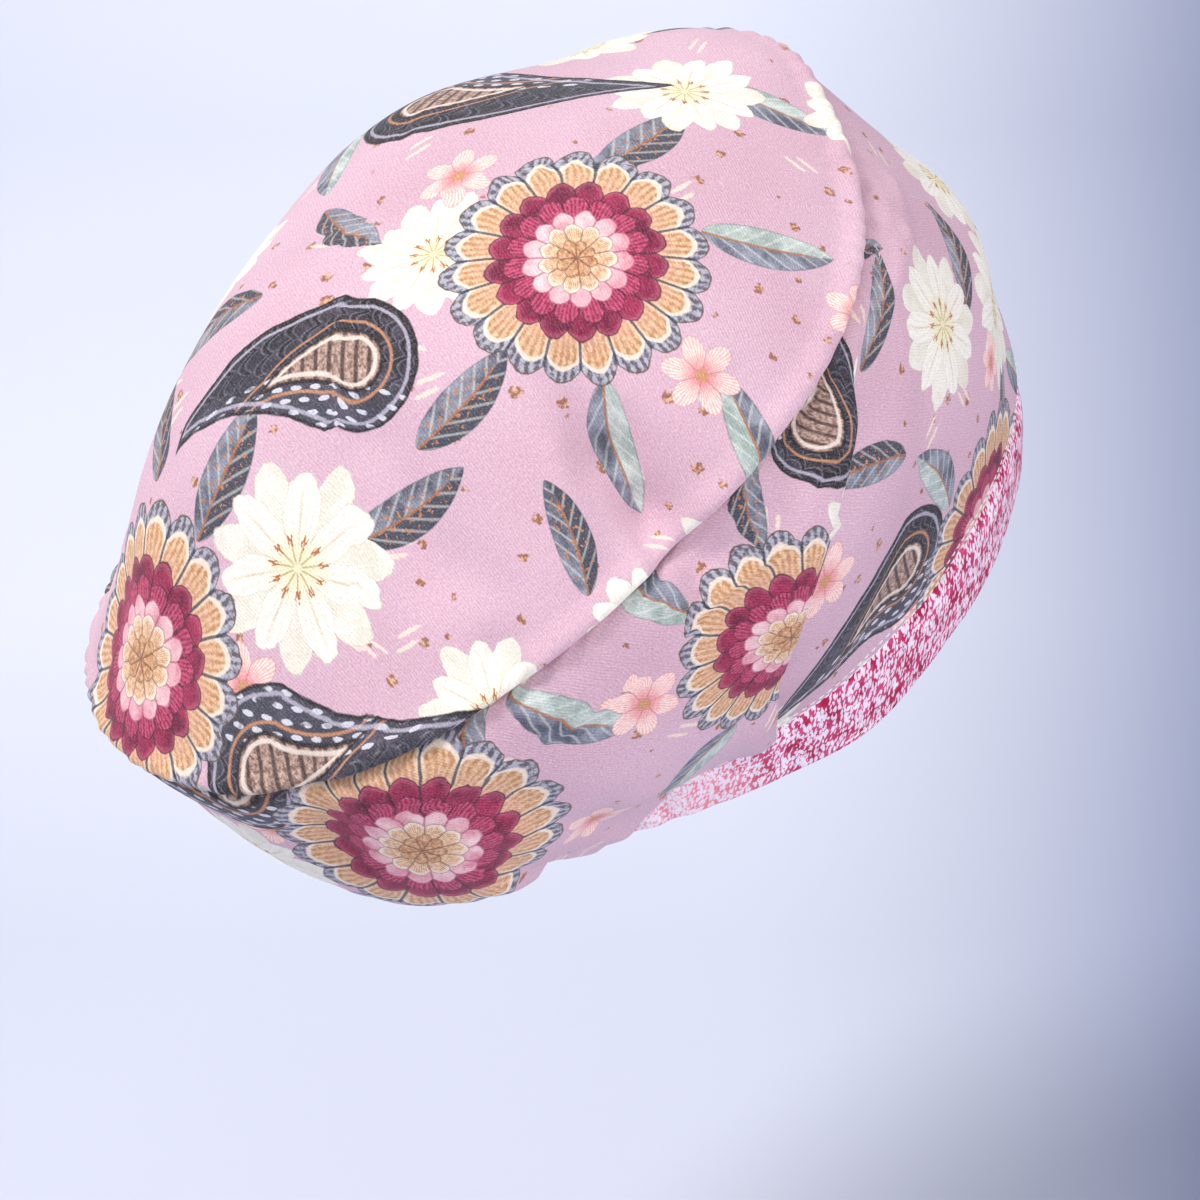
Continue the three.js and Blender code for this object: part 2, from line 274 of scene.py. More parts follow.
def form_normal(s, r, e=0.01):
    s, r = np.broadcast_arrays(np.asarray(s, float), np.asarray(r, float))
    lo, hi = np.maximum(r - e, 0), np.minimum(r + e, MIDDLE - 0.02)
    return unit(np.cross(form(s, hi) - form(s, lo), form(s + e, r) - form(s - e, r)))


def smooth(x):
    t = np.clip(x, 0, 1)
    return t * t * (3 - 2 * t)


def paths_of(table):
    return [form(np.linspace(f[1], f[3], 17), np.linspace(f[2], f[4], 17)) for f in table]


def fold_lift(p, table, paths):
    d = np.zeros(p.shape[:-1])
    flat = p.reshape(-1, 3)
    for f, path in zip(table, paths):
        lo, hi = path.min(0) - 3 * f[5], path.max(0) + 3 * f[5]
        near = ((flat > lo) & (flat < hi)).all(1)
        if not near.any():
            continue
        q = flat[near]
        best = np.full(len(q), 1e9)
        for a in path:
            best = np.minimum(best, ((q - a) ** 2).sum(1))
        dd = d.reshape(-1)
        dd[near] += f[6] * np.exp(-best / f[5] ** 2)
        d = dd.reshape(d.shape)
    return d


def hashed(i, j, k, salt):
    h = (i * 374761393 + j * 668265263 + k * 2147483647 + salt * 974634777) & 0xFFFFFFFF
    h = ((h ^ (h >> 13)) * 1274126177) & 0xFFFFFFFF
    return ((h ^ (h >> 16)) & 0xFFFF) / 32767.5 - 1.0


def noise(p, size, salt=0):
    """Smooth value noise, -1 to 1, with features of about this size in mm."""
    q = p / size
    i = np.floor(q).astype(np.int64)
    f = q - i
    f = f * f * f * (f * (f * 6 - 15) + 10)
    out = 0
    for a in (0, 1):
        for b in (0, 1):
            for c in (0, 1):
                w = (f[..., 0] if a else 1 - f[..., 0]) * (f[..., 1] if b else 1 - f[..., 1]) * (f[..., 2] if c else 1 - f[..., 2])
                out = out + w * hashed(i[..., 0] + a, i[..., 1] + b, i[..., 2] + c, salt)
    return out


P_FOLDS, P_SOFT = paths_of(FOLDS), paths_of(SOFT)


def cloth_lift(s, r, p):
    """How far the cloth stands out of its smooth form: dents, folds, seam puckers and slack."""
    d = fold_lift(p, FOLDS, P_FOLDS) + fold_lift(p, SOFT, P_SOFT)
    for ring, width, dip, mm in SEAMS:
        d = d - dip * np.exp(-(((np.abs(r - ring) * mm) / width) ** 2))
    # the crown's edge is puffed over the side panel's
    step = (r - 5) * 29
    d = d + np.where(step > 0, 1.5 * np.exp(-(((step - 2.6) / 3.0) ** 2)), -0.9 * np.exp(-(((step + 1.2) / 3.4) ** 2)))
    # fine puckers where the thread draws the fabric in
    along = np.mod(s, 8) * 88
    jitter = 2.2 * noise(p, 16, 5)
    side = np.where(r > 5, 0.0, 1.7)
    d = d + 0.34 * np.sin((along + 3 * jitter) * 2 * np.pi / 8.2 + side) * np.exp(-(((np.abs(r - 5) * 29 - 3) / 5) ** 2))
    # gathers over the nape, where the edge is drawn in
    nape = smooth((1.55 - np.abs(np.mod(s, 8) - 4)) / 0.45)
    d = d + nape * 1.7 * np.sin((along + 2.2 * jitter) * 2 * np.pi / 12.5) * np.exp(-np.maximum((r - 1) * 24 - 2, 0) / 17) * (r >= 1)
    # the filled cloth is never quite even
    d = d + 0.8 * noise(p, 52, 1) + 0.35 * noise(p, 24, 2) + 0.10 * noise(p, 9, 3)
    return d


def cloth(s, r, extra=0.0):
    s, r = np.broadcast_arrays(np.asarray(s, float), np.asarray(r, float))
    p = form(s, r)
    n = form_normal(s, r)
    return p + n * (cloth_lift(s, r, p) + extra)[..., None]


# =============================================================================
# meshes
# =============================================================================
def grid_faces(rows, cols, closed):
    idx = np.arange(rows * cols).reshape(rows, cols)
    nxt = np.roll(idx, -1, axis=1) if closed else idx[:, 1:]
    here = idx if closed else idx[:, :-1]
    return np.stack([here[:-1], here[1:], nxt[1:], nxt[:-1]], -1).reshape(-1, 4)


def grid_normals(g, closed):
    ds = (np.roll(g, -1, 1) - np.roll(g, 1, 1)) if closed else np.gradient(g, axis=1)
    dr = np.gradient(g, axis=0)
    return unit(np.cross(dr, ds))


def make_object(name, verts, faces, slots, body, node, material_list, slot_name):
    me = bpy.data.meshes.new(name)
    me.vertices.add(len(verts))
    me.vertices.foreach_set("co", (np.asarray(verts) * MM).astype(np.float32).ravel())
    me.loops.add(faces.size)
    me.loops.foreach_set("vertex_index", faces.astype(np.int32).ravel())
    me.polygons.add(len(faces))
    me.polygons.foreach_set("loop_start", (np.arange(len(faces)) * 4).astype(np.int32))
    for m in material_list:
        me.materials.append(m)
    me.update(calc_edges=True)
    me.polygons.foreach_set("material_index", slots.astype(np.int32))
    me.polygons.foreach_set("use_smooth", np.ones(len(faces), bool))
    me.validate()
    ob = bpy.data.objects.new(name, me)
    bpy.context.scene.collection.objects.link(ob)
    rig.ride(ob, body)
    if node:
        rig.replaces(ob, *([node] if isinstance(node, str) else node))
    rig.slot(ob, slot_name)
    return ob


def unwrap(verts, faces, quick_iters=20):
    """Flatten a sheet with little stretch, in mm. verts (n,3), quads; gives (n,2)."""
    me = bpy.data.meshes.new("flat")
    me.from_pydata([tuple(v) for v in (verts * 0.01)], [], [tuple(int(i) for i in f) for f in faces])
    me.update()
    me.uv_layers.new(name="UVMap")
    ob = bpy.data.objects.new("flat", me)
    bpy.context.scene.collection.objects.link(ob)
    bpy.context.view_layer.objects.active = ob
    for o in bpy.context.selected_objects:
        o.select_set(False)
    ob.select_set(True)
    bpy.ops.object.mode_set(mode="EDIT")
    bpy.ops.mesh.select_all(action="SELECT")
    try:
        bpy.ops.uv.unwrap(method="MINIMUM_STRETCH", fill_holes=False, correct_aspect=False, iterations=quick_iters, margin=0.0)
    except TypeError:
        bpy.ops.uv.unwrap(method="ANGLE_BASED", fill_holes=False, correct_aspect=False, margin=0.0)
    bpy.ops.object.mode_set(mode="OBJECT")
    me = ob.data
    uv = np.zeros(len(me.loops) * 2, np.float32)
    me.uv_layers[0].data.foreach_get("uv", uv)
    vi = np.zeros(len(me.loops), np.int32)
    me.loops.foreach_get("vertex_index", vi)
    out = np.zeros((len(verts), 2))
    out[vi] = uv.reshape(-1, 2)
    bpy.data.objects.remove(ob)
    bpy.data.meshes.remove(me)
    a, b, c, d = (faces[:, k] for k in range(4))
    def area(p, q, r_):
        u, v = q - p, r_ - p
        return (u[:, 0] * v[:, 1] - u[:, 1] * v[:, 0]) / 2
    flat_area = area(out[a], out[b], out[c]) + area(out[a], out[c], out[d])
    real = (np.linalg.norm(np.cross(verts[b] - verts[a], verts[c] - verts[a]), axis=1)
            + np.linalg.norm(np.cross(verts[c] - verts[a], verts[d] - verts[a]), axis=1)) / 2
    out *= math.sqrt(real.sum() / abs(flat_area).sum())
    if flat_area.sum() < 0:  # seen from outside, not mirrored
        out[:, 0] *= -1
    return out, real.sum()


def turned(uv, start, end, angle):
    """Turn and move flat coordinates so that start is at 0 and end lies at this angle."""
    v = uv[end] - uv[start]
    now = math.atan2(v[1], v[0])
    a = angle - now
    c, s = math.cos(a), math.sin(a)
    q = uv - uv[start]
    return np.stack([q[:, 0] * c - q[:, 1] * s, q[:, 0] * s + q[:, 1] * c], -1)


# =============================================================================
# the side panel: a loop cut at centre back, with a deep pleat over each ear
# =============================================================================
def tuck_at(r):
    rr = np.asarray(r, float)
    t = 0
    for k in np.linspace(-0.22, 0.22, 9):
        x = np.clip(rr + k, 1, 5)
        t = t + np.interp(x, [a for a, _ in TUCK], [b for _, b in TUCK])
    return t / 9


DEPTH = 13.0   # fabric hidden under the pleat, one way
REACH_F, REACH_B = 20.0, 28.0


def pleat_profile():
    """Across the pleat, from the front: (flat place, place, height), all in mm."""
    hf = -1.0
    pts = []
    for q in (-20, -16.5, -13, -10, -7.5, -5.5, -3.8, -2.4, -1.2, -0.2):
        pts.append((q, hf * smooth((q + 20) / 16.0)))
    for q in (1, 3, 5, 7.5, 10, DEPTH - 1.6):
        pts.append((q, hf))
    pts += [(DEPTH - 0.5, hf + 0.06), (DEPTH, hf + 0.3), (DEPTH - 0.5, hf + 0.55)]
    for q in (DEPTH - 1.6, 9.5, 7, 4.8, 3.0, 1.9):
        pts.append((q, hf + 0.62))
    for a in np.linspace(-80, 90, 9):  # the rolled edge
        pts.append((1.6 + 1.8 * math.cos(math.radians(180 - a)), hf + 2.45 + 1.8 * math.sin(math.radians(a))))
    for q in (2.5, 3.5, 4.8, 6.4, 8.4, 10.8, 13.4, 16.2, 19.2, 22.6, 25.5, 28):
        rise = 1.1 * math.exp(-(((q - 7.5) / 5.0) ** 2))
        pts.append((q, (hf + 4.25) * (1 - smooth((q - 2.0) / 26.0)) + rise))
    q = np.array([p[0] for p in pts], float)
    h = np.array([p[1] for p in pts], float)
    flat = np.linspace(-REACH_F, REACH_B, len(pts))
    return flat, q, h


def pleat_columns(r, size):
    """Station and height of the pleat's columns at these rings (rows)."""
    flat, q, h = pleat_profile()
    r = np.asarray(r, float)
    sp = tuck_at(r)
    e = 0.02
    rc = np.clip(r, 1 + e, 5 - e)
    ds = form(sp + e, r) - form(sp - e, r)
    speed = np.linalg.norm(ds, axis=-1) / (2 * e)
    es = unit(ds)
    way = unit(form(tuck_at(rc + e), rc + e) - form(tuck_at(rc - e), rc - e))
    cosf = (es * way).sum(-1)
    sinf = np.maximum(np.sqrt(np.maximum(1 - cosf**2, 0)), 0.45)
    fade = smooth((5.0 - r) / 0.75)
    keep = fade * size
    low = 0.45 + 0.55 * smooth((r - 1.0) / 0.35)  # pressed flat where it is sewn to the band
    qq = flat[None] * (1 - keep[:, None]) + q[None] * keep[:, None]
    hh = h[None] * (keep * low)[:, None]
    return sp[:, None] + qq / (speed * sinf)[:, None], hh


N_FRONT, N_BACK = 66, 100


def half_columns(r, size):
    s_mid, h_mid = pleat_columns(r, size)
    sa, sb = s_mid[:, :1], s_mid[:, -1:]
    f = np.linspace(0, 1, N_FRONT, endpoint=False)[None]
    b = np.linspace(0, 1, N_BACK + 1)[1:][None]
    s = np.concatenate([sa * f, s_mid, sb + (4.0 - sb) * b], 1)
    h = np.concatenate([np.zeros((len(r), N_FRONT)), h_mid, np.zeros((len(r), N_BACK))], 1)
    return s, h


def side_rows():
    """Ring and extra sinking of each row, from the band up to the crown."""
    total = 116.0
    edge = [0.0, 0.25, 0.7, 1.3, 2.0, 2.9, 4.0]
    mid = list(np.linspace(5.2, total - 5.2, 80))
    mm = np.array(edge + mid + [total - e for e in edge[::-1]])
    r = 1 + GAP_BAND + (4 - GAP_BAND - GAP_CROWN) * mm / total
    sink = -0.9 * np.exp(-((mm / 1.2) ** 2)) - 0.9 * np.exp(-(((total - mm) / 1.2) ** 2))
    # the raw edges turn in under the seam
    r = np.concatenate([[r[0], r[0]], r, [r[-1] + 0.2 / 29, r[-1] + 0.3 / 29]])
    sink = np.concatenate([[sink[0] - 2.4, sink[0] - 1.2], sink, [sink[-1] - 1.2, sink[-1] - 3.0]])
    return r, sink


POCKET = [  # mm of cloth above the band seam, how far it stands out, how far above the seam it hangs
    (0, 0.0, 0.0), (2, 1.5, -1.8), (5, 2.8, -4.6), (7, 3.6, -6.0), (9, 4.4, -6.0), (11, 3.2, -5.0), (13, 1.0, -3.6),
    (15, -1.4, -2.2), (17, -3.6, -0.8), (18.5, -4.2, 0.4), (20, -3.4, 0.6), (21.5, -1.4, -0.2), (23, 0.2, -0.4),
    (24.5, 0.3, 0.4), (27, -1.2, 3.6), (31, -3.8, 9.5), (36, -6.2, 17.0), (42, -6.4, 27.0), (50, -3.8, 41.0),
    (60, -0.6, 57.0), (70, 0.0, 70.0), (90000, 0.0, 90000.0),
]


def pocket(s, r):
    """Behind each pleat the full cloth hangs over a crease, and a roll of it laps the band: (lift, sag), in mm."""
    at, out, high = (np.array(c, float) for c in zip(*POCKET))
    lift, sag = 0, 0
    up = np.maximum((r - 1) * 24, 0.0)
    for sgn, size in ((0, 1.0), (1, 0.85)):
        t = np.mod(s, 8)
        t = 8 - t if sgn else t
        k = np.maximum(size * smooth((t - 2.38) / 0.52) * smooth((3.3 - t) / 0.3), 0.01)
        for w in (-0.6, 0.0, 0.6):             # rounds the table's corners
            here = up / k + w
            lift = lift + k * np.interp(here, at, out) / 3
            sag = sag + (up + w * k - k * np.interp(here, at, high)) / 3
    return lift, sag


def side_surface(s, h, r, sink):
    """Points of the side panel for a grid of stations, with the pleat's heights."""
    r = r[:, None] + 0 * s
    p = form(s, r)
    n = form_normal(s, r)
    up = unit(np.cross(n, form(s + 0.01, r) - form(s - 0.01, r)))
    up = np.where((up * (form(s, r + 0.01) - form(s, np.maximum(r - 0.01, 0)))).sum(-1, keepdims=True) < 0, -up, up)
    lift, sag = pocket(s, r)
    d = cloth_lift(s, r, p) + lift + h + sink[:, None]
    back = 4 - np.abs(np.mod(s, 8) - 4)
    d = d - 0.8 * np.exp(-((np.abs(np.mod(s, 8) - 4) * 84 / 1.6) ** 2))
    return p + n * d[..., None] - up * sag[..., None]


def side_panel_grid():
    r, sink = side_rows()
    s_r, h_r = half_columns(r, 1.0)
    s_l, h_l = half_columns(r, 0.85)
    eps = 0.12 / 84
    s_r[:, -1] -= eps
    s_l[:, -1] -= eps
    s = np.concatenate([(8 - s_l)[:, ::-1], 8 + s_r[:, 1:]], 1)
    h = np.concatenate([h_l[:, ::-1], h_r[:, 1:]], 1)
    return side_surface(s, h, r, sink), s, np.broadcast_to(r[:, None], s.shape)


# the crown's edge rolls over its seam: mm above it, lift, slide down over the side panel
EDGE_ROLL = ((0.0, 0.15, 0.35, 0.7, 1.2, 2.0, 3.0, 4.5, 7.0, 12.0),
             (-1.0, -0.5, 0.1, 0.6, 0.9, 0.8, 0.5, 0.2, 0.0, 0.0),
             (0.0, 0.5, 1.0, 1.5, 1.7, 1.5, 1.1, 0.6, 0.2, 0.0))


def crown_grid(n=190):
    a = np.linspace(-1, 1, n)
    x, y = np.meshgrid(a, a)
    # even rows over the crown, then finer ones towards its edge
    rho = np.maximum(abs(x), abs(y))
    big = abs(x) >= abs(y)
    with np.errstate(divide="ignore", invalid="ignore"):
        ang = np.where(big, np.where(x > 0, 0, np.pi) + np.pi / 4 * np.where(x != 0, y / x, 0),
                       np.where(y > 0, np.pi / 2, 3 * np.pi / 2) - np.pi / 4 * np.where(y != 0, x / y, 0))
    last = 1 - 2 / ((n - 1) / 2)
    rr = np.where(rho <= last, 1 - np.maximum(1 - rho / last, 0) ** 1.4, 1.0)
    r = 9 - (4 - GAP_CROWN) * rr - np.where(rho > last + 1e-6, 0.25 / 29, 0)
    s = np.mod(ang * 4 / np.pi + 0, 8)
    p = form(s, r)
    nrm = form_normal(np.where(rho < 1e-6, 0.3, s), np.minimum(r, 8.985))
    mid = rho < 0.006
    nrm[mid] = unit(nrm[(rho > 0.01) & (rho < 0.03)].mean(0))
    d = cloth_lift(s, r, p)
    mm = (r - 5) * 29
    d = d + np.interp(mm, *EDGE_ROLL[:2])
    slide = np.interp(mm, EDGE_ROLL[0], EDGE_ROLL[2])
    down = unit(form(s, np.maximum(r - 0.03, 4.9)) - form(s, np.minimum(r + 0.03, 9)))
    # the outermost rows turn in under the seam
    order = np.maximum(abs(np.arange(n)[None] - (n - 1) / 2), abs(np.arange(n)[:, None] - (n - 1) / 2))
    turn = np.clip(order - ((n - 1) / 2 - 2), 0, 2)
    d = d - np.where(turn > 1.5, 3.2, np.where(turn > 0.5, 1.2, 0.0))
    return p + nrm * d[..., None] + down * (slide * (mm < 12))[..., None], s, r


def band_grid():
    cols = 480
    s = np.linspace(0, 8, cols, endpoint=False)
    outer_r = np.array([1 - GAP_BAND, 1 - GAP_BAND - 0.01, 0.93, 0.84, 0.72, 0.6, 0.48, 0.36, 0.25, 0.16, 0.09, 0.04])
    outer_sink = np.array([-1.5, -0.75, -0.12, 0, 0, 0, 0, 0, 0, 0, 0, 0.0])
    wall = 2.1
    rows = []
    def puff(s_, r_):
        p = form(s_, r_)
        d = cloth_lift(s_, np.full_like(s_, r_), p)
        nape = smooth((1.5 - np.abs(s_ - 4)) / 0.5)
        along = s_ * 72
        d = d + nape * 0.9 * np.sin((along + 5 * noise(p, 16, 5)) * 2 * np.pi / 12.5) * (0.4 + 0.6 * r_)
        d = d + 0.25 * noise(p, 13, 8) + 0.3 * np.sin(np.pi * min(max(r_, 0), 1)) 
        return p, form_normal(s_, np.full_like(s_, max(r_, 0.02))), d
    for r_, k in zip(outer_r, outer_sink):
        p, n, d = puff(s, r_)
        rows.append(p + n * (d + k)[:, None])
    p, n, d = puff(s, 0.03)
    down = unit(form(s, 0.0) - form(s, 0.06))
    for a in (25, 60, 95, 130, 160):  # the folded lower edge
        t = math.radians(a)
        rows.append(p + n * (d - wall / 2 + wall / 2 * math.cos(t))[:, None] + down * (wall / 2 * math.sin(t) * 0.9 + 0.2))
    for r_ in (0.04, 0.2, 0.4, 0.6, 0.8, 0.95, 1 - GAP_BAND):
        p, n, d = puff(s, r_)
        rows.append(p + n * (d - wall - (0.0 if r_ < 0.95 else 0.0))[:, None])
    g = np.array(rows)[::-1]  # from the inner top edge down, round and up the outside
    return g, s


def closed_both(rows, cols):
    idx = np.arange(rows * cols).reshape(rows, cols)
    up, nx = np.roll(idx, -1, 0), np.roll(idx, -1, 1)
    both = np.roll(up, -1, 1)
    return np.stack([idx, up, both, nx], -1).reshape(-1, 4)


# =============================================================================
# painting with shader nodes
# =============================================================================
def rgb(code):
    v = [int(code[i:i + 2], 16) / 255 for i in (1, 3, 5)]
    return tuple(c / 12.92 if c <= 0.04045 else ((c + 0.055) / 1.055) ** 2.4 for c in v)


class Val:
    """A number in a node tree, with ordinary arithmetic."""

    def __init__(self, g, sock):
        self.g, self.sock = g, sock

    def __add__(self, o): return self.g.math("ADD", self, o)
    __radd__ = __add__
    def __sub__(self, o): return self.g.math("SUBTRACT", self, o)
    def __rsub__(self, o): return self.g.math("SUBTRACT", o, self)
    def __mul__(self, o): return self.g.math("MULTIPLY", self, o)
    __rmul__ = __mul__
    def __truediv__(self, o): return self.g.math("DIVIDE", self, o)
    def __neg__(self): return self.g.math("MULTIPLY", self, -1.0)


class Graph:
    def __init__(self, name):
        self.mat = bpy.data.materials.new(name)
        self.mat.use_nodes = True
        self.tree = self.mat.node_tree
        self.tree.nodes.clear()

    def new(self, kind, **props):
        n = self.tree.nodes.new(kind)
        for k, v in props.items():
            setattr(n, k, v)
        return n

    def put(self, socket, value):
        if isinstance(value, Val):
            self.tree.links.new(value.sock, socket)
        elif hasattr(value, "links"):
            self.tree.links.new(value, socket)
        elif isinstance(value, (tuple, list)):
            socket.default_value = tuple(value) + ((1.0,) if len(value) == 3 and len(socket.default_value) == 4 else ())
        else:
            socket.default_value = value

    def math(self, op, *args, clamp=False):
        n = self.new("ShaderNodeMath", operation=op, use_clamp=clamp)
        for i, a in enumerate(args):
            self.put(n.inputs[i], float(a) if not isinstance(a, Val) else a)
        return Val(self, n.outputs[0])

    def sin(self, a): return self.math("SINE", a)
    def cos(self, a): return self.math("COSINE", a)
    def abs(self, a): return self.math("ABSOLUTE", a)
    def sqrt(self, a): return self.math("SQRT", a)
    def fract(self, a): return self.math("FRACT", a)
    def floor(self, a): return self.math("FLOOR", a)
    def atan2(self, y, x): return self.math("ARCTAN2", y, x)
    def min(self, a, b): return self.math("MINIMUM", a, b)
    def max(self, a, b): return self.math("MAXIMUM", a, b)
    def pow(self, a, b): return self.math("POWER", a, b)
    def clamp(self, a): return self.math("ADD", a, 0.0, clamp=True)

    def ramp(self, a, lo, hi, out_lo=0.0, out_hi=1.0):
        """Goes evenly from out_lo at lo to out_hi at hi."""
        n = self.new("ShaderNodeMapRange", clamp=True)
        self.put(n.inputs[0], a)
        for i, v in zip((1, 2, 3, 4), (lo, hi, out_lo, out_hi)):
            self.put(n.inputs[i], v)
        return Val(self, n.outputs[0])

    def inside(self, d, soft=0.18):
        """1 where d is above 0, with a soft edge."""
        return self.ramp(d, -soft, soft)

    def vec(self, x, y, z=0.0):
        n = self.new("ShaderNodeCombineXYZ")
        for i, v in enumerate((x, y, z)):
            self.put(n.inputs[i], v)
        return n.outputs[0]

    def split(self, vector):
        n = self.new("ShaderNodeSeparateXYZ")
        self.put(n.inputs[0], vector)
        return [Val(self, o) for o in n.outputs]

    def attribute(self, name):
        n = self.new("ShaderNodeAttribute", attribute_type="GEOMETRY", attribute_name=name)
        return n.outputs["Vector"]

    def noise(self, vector, scale, detail=2.0, rough=0.5):
        n = self.new("ShaderNodeTexNoise", noise_dimensions="2D")
        self.put(n.inputs["Vector"], vector)
        n.inputs["Scale"].default_value = scale
        n.inputs["Detail"].default_value = detail
        n.inputs["Roughness"].default_value = rough
        return Val(self, n.outputs[0])

    def cells(self, vector, scale, jitter=1.0, feature="F1", metric="EUCLIDEAN"):
        n = self.new("ShaderNodeTexVoronoi", voronoi_dimensions="2D", feature=feature, distance=metric)
        self.put(n.inputs["Vector"], vector)
        n.inputs["Scale"].default_value = scale
        n.inputs["Randomness"].default_value = jitter
        return n

    def mix(self, f, a, b):
        n = self.new("ShaderNodeMix", data_type="RGBA", blend_type="MIX")
        self.put(n.inputs[0], f)
        self.put(n.inputs[6], a)
        self.put(n.inputs[7], b)
        return n.outputs[2]

    def blend(self, f, a, b):
        return a + (b - a) * f if isinstance(a, Val) or isinstance(b, Val) else f * (b - a) + a


def rosette(g, at, patch, fine):
    """A round dahlia of long tan petals round crimson, pink and cream ones. Gives colour and mask."""
    x, y, seed = g.split(at)
    rho = g.sqrt(x * x + y * y)
    turn = g.atan2(y, x) * (1 / (2 * math.pi)) + seed
    grain = 0.5 + g.sin(turn * (2 * math.pi * 95) + patch * 9.0) * 0.13 + (fine - 0.5) * 0.7
    wob = (patch - 0.5) * 2.6
    reach = rho + wob

    def ring(n, radius, deep, shift):
        t = g.fract(turn * float(n) + shift) - 0.5
        a = g.abs(t)
        edge = radius - (t * t) * (4.0 * deep)
        d = edge - reach
        side = (0.5 - a) * (rho * (2 * math.pi / n))
        return a, d, side

    # long outer petals
    a, d, side = ring(19, 31.0, 3.6, 0.0)
    body = g.mix(g.ramp(grain, 0.35, 0.66), rgb("#b9824f"), rgb("#e9bd8c"))
    body = g.mix(g.ramp(d, 5.0, 12.0) * 0.55, body, rgb("#e2a98e"))
    body = g.mix(g.ramp(side, 1.15, 0.45) * g.ramp(d, 11.0, 3.0) * 0.75, body, rgb("#f6e6d2"))
    tip = g.inside(3.3 - d, 0.35) * g.inside(d - 0.35, 0.2)
    tip_col = g.mix(g.ramp(grain, 0.4, 0.6), rgb("#4a5163"), rgb("#a3a8bb"))
    body = g.mix(tip * 0.92, body, tip_col)
    body = g.mix(g.inside(0.62 - g.abs(d - 3.7), 0.25) * 0.85, body, rgb("#f4e3d2"))
    line = g.max(g.inside(0.34 - side, 0.14) * g.ramp(d, 15.0, 9.0), g.inside(0.42 - d, 0.15))
    col = g.mix(line * 0.88, body, rgb("#2f323c"))
    mask = g.inside(d)

    # crimson scallops, two rows
    a, d, side = ring(17, 20.6, 2.6, 0.35)
    body = g.mix(g.ramp(patch, 0.35, 0.65), rgb("#6d0f35"), rgb("#a4234f"))
    body = g.mix(g.ramp(d, 1.9, 0.5) * 0.35, body, rgb("#d46d86"))
    line = g.max(g.inside(0.3 - side, 0.14), g.inside(0.38 - d, 0.14))
    body = g.mix(line * 0.8, body, rgb("#3d0a22"))
    col = g.mix(g.inside(d), col, body)
    a, d, side = ring(15, 16.4, 2.3, 0.85)
    body = g.mix(g.ramp(grain, 0.36, 0.62), rgb("#8c1c45"), rgb("#c4476c"))
    line = g.max(g.inside(0.26 - side, 0.14), g.inside(0.34 - d, 0.14))
    body = g.mix(line * 0.85, body, rgb("#4a0d2a"))
    col = g.mix(g.inside(d), col, body)

    # pink scallops
    a, d, side = ring(13, 12.6, 2.0, 0.2)
    body = g.mix(g.ramp(patch, 0.3, 0.7), rgb("#d77f92"), rgb("#f6cfd0"))
    line = g.max(g.inside(0.24 - side, 0.14), g.inside(0.3 - d, 0.14))
    body = g.mix(line * 0.7, body, rgb("#a8355e"))
    col = g.mix(g.inside(d), col, body)

    # tan and cream scallops round the heart
    a, d, side = ring(11, 9.2, 1.6, 0.6)
    body = g.mix(g.ramp(grain, 0.36, 0.64), rgb("#c9905f"), rgb("#f0cfa6"))
    body = g.mix(g.ramp(d, 1.5, 0.5) * 0.8, body, rgb("#f8e9da"))
    line = g.max(g.inside(0.2 - side, 0.14), g.inside(0.28 - d, 0.14))
    body = g.mix(line * 0.75, body, rgb("#7c4a2c"))
    col = g.mix(g.inside(d), col, body)
    a, d, side = ring(8, 5.0, 1.0, 0.1)
    body = g.mix(g.ramp(grain, 0.4, 0.6), rgb("#a9683a"), rgb("#e5b784"))
    line = g.max(g.inside(0.2 - side, 0.14), g.inside(0.26 - d, 0.14))
    body = g.mix(line * 0.75, body, rgb("#6a3a22"))
    col = g.mix(g.inside(d), col, body)
    return col, mask


